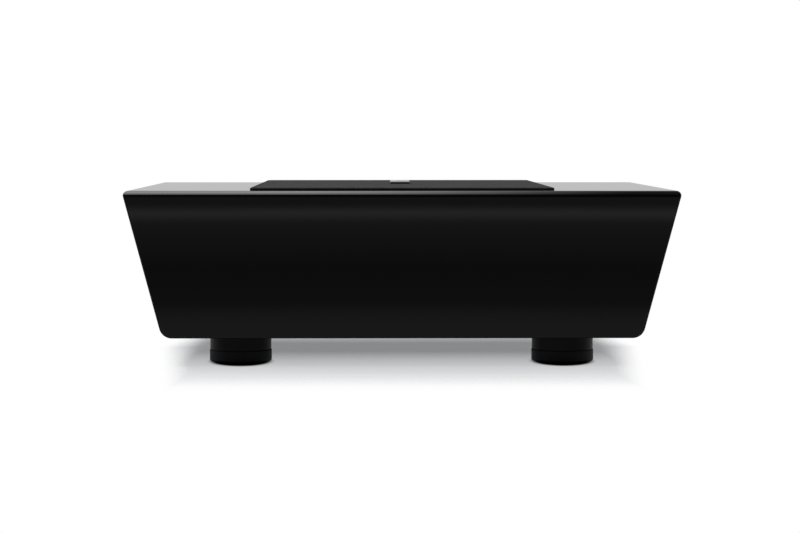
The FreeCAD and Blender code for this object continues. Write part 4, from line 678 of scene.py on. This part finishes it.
def woven(slot, pitch, gap, thread, rough, depth):
    """A cloth: beads of thread over dark gaps. Hair finer than a thread, long streaks along
    single threads both ways and slow patches make it uneven."""
    finishes[slot], tree, shader = new_material("made_" + slot)
    flat = add(tree, "UVMap", uv_map="flat").outputs[0]
    cross = effect(tree, weave, flat, Pitch=pitch)
    hair = cloudy(tree, flat, 2.2 / pitch)
    patch = cloudy(tree, flat, 60.0)
    colour = tint(tree, fade(tree, cross["Height"], 0.15, 0.75), gap, thread)
    warp = cloudy(tree, stretched(tree, flat, 1, 0.07, 1), 0.75 / pitch)
    weft = cloudy(tree, stretched(tree, flat, 0.04, 1, 1), 0.9 / pitch)
    for mask, most, toward in ((hair, 0.35, gap), (warp, 0.7, gap), (weft, 0.2, gap), (patch, 0.2, thread)):
        colour = tint(tree, times(tree, mask, most), colour, toward)
    height = sloped(tree, cross["Thread"], 0.25, cross["Height"])
    finish(tree, shader, colour, sloped(tree, hair, 0.1, rough), height, depth,
           **{"Sheen Weight": 0.085, "Sheen Roughness": 0.4, "Specular IOR Level": 0.15})


woven("grille_cloth", THREAD_PITCH, grey(0.003), grey(0.010), 0.75, 0.00012)
woven("spider_cloth", 0.0009, (0.30, 0.16, 0.05, 1), (0.72, 0.47, 0.18, 1), 0.5, 0.00008)
print("cloth pitch, millimetres:", THREAD_PITCH * 1000)

# %% [markdown]
# ## Dressing the solid parts
#
# The solid parts come with plain materials, named like the slots. Each is changed for the finish
# of the same name, and the parts' shapes stay as they are.

# %% Give every solid part its finish
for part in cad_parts.values():
    for held in part.material_slots:
        held.material = finishes[held.material.name]
print("dressed", len(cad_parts), "parts with", len(finishes), "finishes")

# %% [markdown]
# ## The grille's cloth
#
# The cloth is stretched over a plastic frame and folded down its sides, where each thread shows
# as a small bead and gives the grille its scalloped edge. It is a grid of loops round the frame,
# from the hem up over the rounded shoulder and in to the middle line of the flat top. A bead
# pattern pushes the loops in between the threads, and Solidify gives the cloth its thickness.

# %% Grille cloth
def rim_points(half_x, half_y, corner, step):
    """Points round a rectangle with round corners, and the outward direction at each. One side
    has points a step apart, and its corner goes by the cosine and sine of the angle from the
    corner's centre. Quarter turns of that run make the other three."""
    runs = []
    arc = int(np.pi / 2 * corner / step)
    for turn, (half_run, half_out) in enumerate([(half_x, half_y), (half_y, half_x)] * 2):
        count = int((half_run - corner) / step)
        run = np.arange(-count, count + 1) * step
        side_points = np.stack([run, 0 * run - half_out], -1)
        angle = np.linspace(-np.pi / 2, 0, arc + 2)[1:-1]
        bend = np.stack([half_run - corner + corner * np.cos(angle),
                         corner - half_out + corner * np.sin(angle)], -1)
        away = np.stack([np.cos(angle), np.sin(angle)], -1)
        outward = np.concatenate([np.tile([0.0, -1.0], (len(run), 1)), away])
        spin = turn * np.pi / 2
        matrix = np.array([[np.cos(spin), np.sin(spin)], [-np.sin(spin), np.cos(spin)]])
        runs.append((np.concatenate([side_points, bend]) @ matrix, outward @ matrix))
    return [np.concatenate(part) for part in zip(*runs)]


SHOULDER = 0.0006  # radius of the bend from the flat top into the sides
CORNER = 0.004  # radius of the grille's corners, seen from above
CLOTH_THICK = 0.00015
BEAD_DEPTH = 0.00042  # how deep the gaps between threads are
BEAD_FADE = 0.001  # over which the beads grow from nothing on the flat top
STEP = THREAD_PITCH / 4
low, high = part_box("grille_cloth")
half_x, half_y = high.x - SHOULDER, high.y - SHOULDER
rim, outward = rim_points(half_x, half_y, CORNER - SHOULDER, STEP)
print("points round the grille:", len(rim))
drop = high.z - SHOULDER - low.z
down = np.array([1, 0.66, 0.33, 0])
angle = np.radians([67.5, 45, 22.5, 0])
fold = SHOULDER * np.pi / 2
inset = STEP * np.arange(1, 7)
# How far along the cloth, how far out and how high each loop lies, and how far it leans from
# level, from the hem over the bend to the flat top.
reach = np.concatenate([fold + drop * down, SHOULDER * angle, -inset])
out = np.concatenate([np.full(len(down), SHOULDER), SHOULDER * np.sin(angle), -inset])
height = np.concatenate([low.z + drop * (1 - down), high.z - SHOULDER * (1 - np.cos(angle)),
                         np.full(len(inset), high.z)])
lean = np.concatenate([np.full(len(down), np.pi / 2), angle, np.zeros(len(inset))])
flat_xy = rim + reach[:, None, None] * outward
# A bead's height is the product of two rounded sines, one across each set of threads.
bead = np.prod(np.abs(np.sin(np.pi * flat_xy / THREAD_PITCH)) ** BEAD_ROUNDNESS, -1)
sunk = BEAD_DEPTH * (1 - bead) * np.clip((reach[:, None] + inset[-1]) / BEAD_FADE, 0, 1)
loops = np.empty(flat_xy.shape[:2] + (3,))
loops[..., :2] = rim + (out[:, None] - sunk * np.sin(lean)[:, None])[..., None] * outward
loops[..., 2] = height[:, None] - sunk * np.cos(lean)[:, None]
# The last loops move a share of the way to the middle line, and the flat top closes there.
spine = np.stack([0 * rim[:, 0], np.clip(rim[:, 1], half_x - half_y, half_y - half_x)], -1)
share = np.array([0.2, 0.6, 1.0])[:, None, None]
closing = flat_xy[-1] + (spine - flat_xy[-1]) * share
loops = np.concatenate([loops, np.insert(closing, 2, high.z, -1)])
flat_xy = np.concatenate([flat_xy, closing])
grille_cloth = make_mesh("grille_cloth_woven", loops,
                         quads(*loops.shape[:2], round_columns=True), flat_xy)
close_up(grille_cloth, turn_out=False)
wall = grille_cloth.modifiers.new("thickness", "SOLIDIFY")
wall.thickness = CLOTH_THICK
wall.offset = -1
grille_cloth.data.materials.append(finishes["grille_cloth"])
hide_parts("grille_cloth")
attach(grille_cloth, "grille")

# %% [markdown]
# ## Surround and spider
#
# The surround is the rubber ring between the cone and its frame, and the spider is the pleated
# disc further down; in the speaker both bend with the cone. Each is a profile turned about the
# woofer's axis, with its outer edge held by the cabinet and its inner edge by the cone.

# %% Turned shells
def shell(profile, thickness, around=240):
    """A turned wall: the profile (radius, height), half a thickness to each side along its own
    normal, closed round the edges and carried round the Z axis."""
    step = np.gradient(profile, axis=0)
    normal = np.stack([-step[:, 1], step[:, 0]], -1) / np.linalg.norm(step, axis=1)[:, None]
    both = np.concatenate([profile + normal * thickness / 2, (profile - normal * thickness / 2)[::-1]])
    points = spun(both, around)
    return points, quads(*points.shape[:2], True, True), points[..., :2]


def follow_cone(made):
    """Bakes a ring's place into its points and works out each point's distance from the Z axis."""
    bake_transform(made)
    radius = np.hypot(*points_of(made.data).T[:2])


def place_shell(name, slot, profile, thickness):
    """Makes a turned shell that stands for a CAD ring of the same name."""
    made = close_up(make_mesh(name + "_ring", *shell(profile, thickness)))
    made.data.materials.append(finishes[slot])
    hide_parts(name)
    follow_cone(made)


# The surround: a half roll that hangs between two flat lands. A fine ridge, a bell curve across,
# goes round the outer land.
LAND_HEIGHT = 0.1159
ROLL_MIDDLE, ROLL_R = 0.0820, 0.0071
INNER_LAND, OUTER_LAND = (0.0708, 0.0747), (0.0893, 0.0944)
RIDGE_R, RIDGE_HEIGHT, RIDGE_WIDTH = 0.0930, 0.0004, 0.0005
RUBBER_THICK = 0.00078
swing = np.linspace(0, np.pi, 40)
roll = np.stack([ROLL_MIDDLE - ROLL_R * np.cos(swing), LAND_HEIGHT - ROLL_R * np.sin(swing)], -1)
inner_land = np.stack([np.linspace(*INNER_LAND, 8), np.full(8, LAND_HEIGHT)], -1)
outer_land = np.stack([np.linspace(*OUTER_LAND, 12), np.full(12, LAND_HEIGHT)], -1)
outer_land[:, 1] += RIDGE_HEIGHT * np.exp(-((outer_land[:, 0] - RIDGE_R) / RIDGE_WIDTH) ** 2)
place_shell("surround", "surround_rubber", np.concatenate([inner_land, roll, outer_land]),
            RUBBER_THICK)

# The spider: a flat disc with pleats, a sine whose half wave is one pleat, between two radii.
DISC_HEIGHT, DISC_THICK = 0.0833, 0.0006
DISC_INNER, DISC_OUTER = 0.0194, 0.0580
PLEAT_START, PLEAT_END = 0.02525, 0.04725
PLEAT_LENGTH, PLEAT_HEIGHT = 0.0044, 0.0015
radius = np.linspace(DISC_INNER, DISC_OUTER, 180)
wave = np.sin(np.pi * (radius - PLEAT_START) / PLEAT_LENGTH)
pleat = PLEAT_HEIGHT * np.where((radius > PLEAT_START) & (radius < PLEAT_END), wave, 0)
place_shell("spider", "spider_cloth", np.stack([radius, DISC_HEIGHT + pleat], -1),
            DISC_THICK)

# %% [markdown]
# ## Damping wadding
#
# A pad of loose polyester behind the front wall soaks up echoes. It is soft, with rounded ends
# and lumps where the fibres bunch up: a tube with a squarish section, drawn in at both ends and
# pushed about by a few long waves.

# %% Wadding
middle, half = middle_of("damping_wadding")
along, turn = np.meshgrid(np.linspace(-1, 1, 121), np.linspace(0, 2 * np.pi, 120, endpoint=False),
                          indexing="ij")


def squarish(value, power=0.35):
    """The value with its size raised to a power under 1, which squares up a round section."""
    return np.sign(value) * np.abs(value) ** power


# The section shrinks to nothing at both ends, and waves both along and round it make the lumps.
end = np.clip(1 - np.abs(along) ** 12, 0, 1) ** 0.35
lump = 1 - 0.035 * (1 + np.sin(9 * along + 3 * np.sin(2 * turn)) * np.sin(3 * turn + 5 * along))
lump -= 0.025 * (1 + np.sin(23 * along + 1.3) * np.cos(5 * turn - 7 * along))
pad = np.stack([middle[0] + half[0] * along,
                middle[1] + half[1] * end * lump * squarish(np.cos(turn)),
                middle[2] + half[2] * end * lump * squarish(np.sin(turn))], -1)
wadding = close_up(make_mesh("wadding_pad", pad, quads(*pad.shape[:2], round_columns=True)))
wadding.data.materials.append(finishes["wadding"])
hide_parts("damping_wadding")
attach(wadding, "cabinet")
print("wadding, millimetres:", (np.array(wadding.dimensions) * 1000).round(1))

# %% [markdown]
# ## Screws
#
# A screw head is told by its drive. Each screw is a profile turned about its axis, whose face
# then sinks into a cross-shaped pit. One function makes all three kinds: pan heads round the
# woofer and under the feet, and sunk heads on the amplifier's tray.

# %% Cross-headed screws
FACE_RINGS = 26  # rings of points across a screw's face, fine enough for the pit
SCREW_ROUND = 80  # points round a screw
SIDE_WALL, END_WALL = 0.00012, 0.0003  # over which the pit's walls fall


def screws(name, slot, places, turned, profile, pit_reach, pit_width, pit_depth):
    """Screws at several places. The profile is (radius, height) from the face's middle to the
    tip, and turned holds the directions of the screw's own X, Y and Z. A point sinks by the
    pit's depth times 1 inside either arm of a cross, 0 outside and a slope at the walls."""
    local = spun(profile, SCREW_ROUND)
    x, y = local[..., 0], local[..., 1]

    def arm(u, v):
        inside = np.clip((pit_width / 2 - np.abs(u)) / SIDE_WALL + 0.5, 0, 1)
        return inside * np.clip((pit_reach - np.abs(v)) / END_WALL + 0.5, 0, 1)

    local[:FACE_RINGS, :, 2] -= pit_depth * np.maximum(arm(x, y), arm(y, x))[:FACE_RINGS]
    points = np.concatenate([np.array(place) + local @ turned for place in places])
    grid = quads(*local.shape[:2], round_columns=True)
    faces = np.concatenate([grid + index * x.size for index in range(len(places))])
    made = close_up(make_mesh(slot + "_" + name, points, faces))
    made.data.materials.append(finishes[slot])
    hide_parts(name)
    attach(made, "cabinet")
    print(made.name, len(places), "screws,", len(made.data.polygons), "faces")


def face(radius):
    """The flat face of a head, as rings from its middle out."""
    return [(r, 0.0) for r in np.linspace(0, radius, FACE_RINGS)]


def pan_head(radius, rounding, thick, shank, length):
    """A pan-head screw: flat face, a quarter circle round its rim, side, underside and shank."""
    bend = np.linspace(0, np.pi / 2, 7)[1:]
    rim = [(radius - rounding + rounding * np.sin(a), -rounding * (1 - np.cos(a))) for a in bend]
    return face(radius - rounding) + rim + [(radius, -thick), (shank, -thick),
                                            (shank, -length), (0.0, -length)]


def sunk_head(radius, thick, shank, length):
    """A sunk screw: flat face, a cone down to the shank, and the shank."""
    return face(radius) + [(shank, -thick), (shank, -length), (0.0, -length)]


WOOFER_SCREW_CIRCLE = 0.099
TRAY_SCREW_R = 0.0030
upright = np.eye(3)
from_rear = np.array([[-1, 0, 0], [0, 0, 1], [0, 1, 0]])
from_below = np.diag([1, -1, -1])

face_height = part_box("woofer_screws")[1].z
turn = np.radians(22.5 + 45 * np.arange(8))
places = [(WOOFER_SCREW_CIRCLE * np.cos(a), WOOFER_SCREW_CIRCLE * np.sin(a), face_height) for a in turn]
screws("woofer_screws", "black_steel", places, upright,
       pan_head(radius=0.0038, rounding=0.0012, thick=0.0024, shank=0.0020, length=0.0184),
       pit_reach=0.0021, pit_width=0.0009, pit_depth=0.0013)

middle, half = middle_of("amp_tray_screws")
apart = half - (TRAY_SCREW_R, 0, TRAY_SCREW_R)
places = [middle + apart * (i, 1, j) for i in (-1, 0, 1) for j in (-1, 1)]
screws("amp_tray_screws", "black_steel", places, from_rear,
       sunk_head(radius=TRAY_SCREW_R, thick=0.0014, shank=0.0016, length=0.0110),
       pit_reach=0.0017, pit_width=0.0007, pit_depth=0.0009)

face_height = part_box("foot_screws")[0].z
feet = [middle_of("foot_pad_" + where)[0]
        for where in ("front_left", "front_right", "rear_left", "rear_right")]
places = [(x, y, face_height) for x, y, _ in feet]
screws("foot_screws", "zinc_steel", places, from_below,
       pan_head(radius=0.0050, rounding=0.0010, thick=0.0030, shank=0.0025, length=0.0269),
       pit_reach=0.0026, pit_width=0.0011, pit_depth=0.0016)

# %% [markdown]
# ## Socket rings
#
# The line sockets have a coloured plastic ring each, white for left and red for right. A ring is
# a short profile turned about the socket's axis, which points out of the rear.

# %% Socket rings
SOCKET_R = 0.0056
RING_BACK = 0.001  # the ring sits this far in from the sockets' ends
RING_ROUND = 64  # points round a ring
middle, half = middle_of("line_in_sockets")
outer_end, socket_height = middle[1] + half[1], middle[2]
apart = half[0] - SOCKET_R
socket_x = {"left": middle[0] - apart, "right": middle[0] + apart}
ring_line = [(0.0016, 0.0), (0.0016, 0.0005), (0.0019, 0.0008), (0.0030, 0.0008),
             (0.0033, 0.0005), (0.0033, 0.0)]
ring = spun(ring_line, RING_ROUND)[..., [0, 2, 1]]  # its axis along Y
for side_name, colour in (("left", (0.72, 0.72, 0.70, 1)), ("right", (0.50, 0.02, 0.02, 1))):
    x = socket_x[side_name]
    points = ring + (x, outer_end - RING_BACK, socket_height)
    made = close_up(make_mesh("line_in_ring_" + side_name, points, quads(*ring.shape[:2], True, True)))
    tree, shader, place, drift = start_finish("ring_" + side_name, 700.0)
    darker = tuple(0.85 * level for level in colour[:3]) + (1,)
    finish(tree, shader, tint(tree, drift, colour, darker), sloped(tree, drift, 0.08, 0.32),
           effect(tree, grain, place, Scale=2500.0)["Height"], 0.00002)
    made.data.materials.append(finishes["ring_" + side_name])
    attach(made, "cabinet")
    print(made.name, "at x", round(x, 4))

# %% [markdown]
# ## Printed marks
#
# Print says what each control does: ticks and numbers round the dials, L and R at the sockets, I
# and O at the switch, 0 and 180 at the phase slider. It is a film of ink, so every mark is a thin
# plate on the tray's floor. A word is made into a mesh, and its points are then laid in place.

# %% Printed marks
TRAY_FLOOR = 0.136  # how far back the tray's floor lies
INK = 0.00006  # thickness of the print
NUMBER_SIZE, LETTER_SIZE = 0.0030, 0.0042
KNOB_TURN = 150  # degrees that a knob turns each way
TICK_START, TICK_END, TICK_WIDTH = 0.0086, 0.0100, 0.00035


def word_plate(text, size, x, z):
    """A word as a thin plate on the tray's floor, read from behind, centred at (x, z)."""
    curve = bpy.data.curves.new("word", "FONT")
    curve.body, curve.size, curve.extrude = text, size, INK / 2
    curve.align_x, curve.align_y, curve.resolution_u = "CENTER", "CENTER", 4
    holder = bpy.data.objects.new("word", curve)
    mesh = bpy.data.meshes.new_from_object(holder)
    faces = [tuple(p.vertices) for p in mesh.polygons]
    points = points_of(mesh) @ from_rear + np.array([x, TRAY_FLOOR + INK / 2, z])
    bpy.data.objects.remove(holder)
    bpy.data.curves.remove(curve)
    bpy.data.meshes.remove(mesh)
    return points, faces


def tick_plate(x, z, angle):
    """A thin bar that points away from (x, z), at an angle from straight up. The angle's sine
    carries it sideways and its cosine up."""
    box = np.array([(u, v, w) for u in (-TICK_WIDTH / 2, TICK_WIDTH / 2)
                    for v in (TICK_START, TICK_END) for w in (0, INK)])
    cos, sin = np.cos(angle), np.sin(angle)
    turned = np.stack([-(box[:, 0] * cos + box[:, 1] * sin), box[:, 2],
                       box[:, 1] * cos - box[:, 0] * sin], -1)
    faces = [(0, 1, 3, 2), (4, 6, 7, 5), (0, 4, 5, 1), (2, 3, 7, 6), (0, 2, 6, 4), (1, 5, 7, 3)]
    return turned + np.array([x, TRAY_FLOOR, z]), faces


plates = []
for knob, numbers in (("level_knob", ("0", "5", "10")), ("crossover_knob", ("40", "80", "120"))):
    x, _, z = middle_of(knob)[0]
    for step in np.linspace(-KNOB_TURN, KNOB_TURN, 11):
        plates.append(tick_plate(x, z, np.radians(step)))
    for number, step, reach in zip(numbers, (-KNOB_TURN, 0, KNOB_TURN), (0.0125, 0.0120, 0.0125)):
        step = np.radians(step)
        plates.append(word_plate(number, NUMBER_SIZE, x - reach * np.sin(step), z + reach * np.cos(step)))
rocker, slider = (middle_of(node)[0] for node in ("rocker_housing", "phase_switch_body"))
words = [("L", LETTER_SIZE, socket_x["left"], socket_height - 0.0105),
         ("R", LETTER_SIZE, socket_x["right"], socket_height - 0.0105),
         ("I", LETTER_SIZE, rocker[0], rocker[2] + 0.0140),
         ("O", LETTER_SIZE, rocker[0], rocker[2] - 0.0140),
         ("0", NUMBER_SIZE, slider[0] + 0.0035, slider[2] + 0.0060),
         ("180", NUMBER_SIZE, slider[0] - 0.0035, slider[2] + 0.0060)]
plates += [word_plate(*word) for word in words]
corners, faces = [], []
for points, plate_faces in plates:
    faces += [[index + len(corners) for index in face] for face in plate_faces]
    corners += points.tolist()
marks = bpy.data.meshes.new("tray_marks")
marks.from_pydata(corners, [], faces)
marks = bpy.data.objects.new("tray_marks", marks)
bpy.context.scene.collection.objects.link(marks)
close_up(marks)
two_tone("printed_marks", 1800.0, grey(0.62), grey(0.74), 0.5, 0.1, 0.00001)
marks.data.materials.append(finishes["printed_marks"])
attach(marks, "cabinet")
print("printed marks:", len(plates), "plates,", len(faces), "faces")
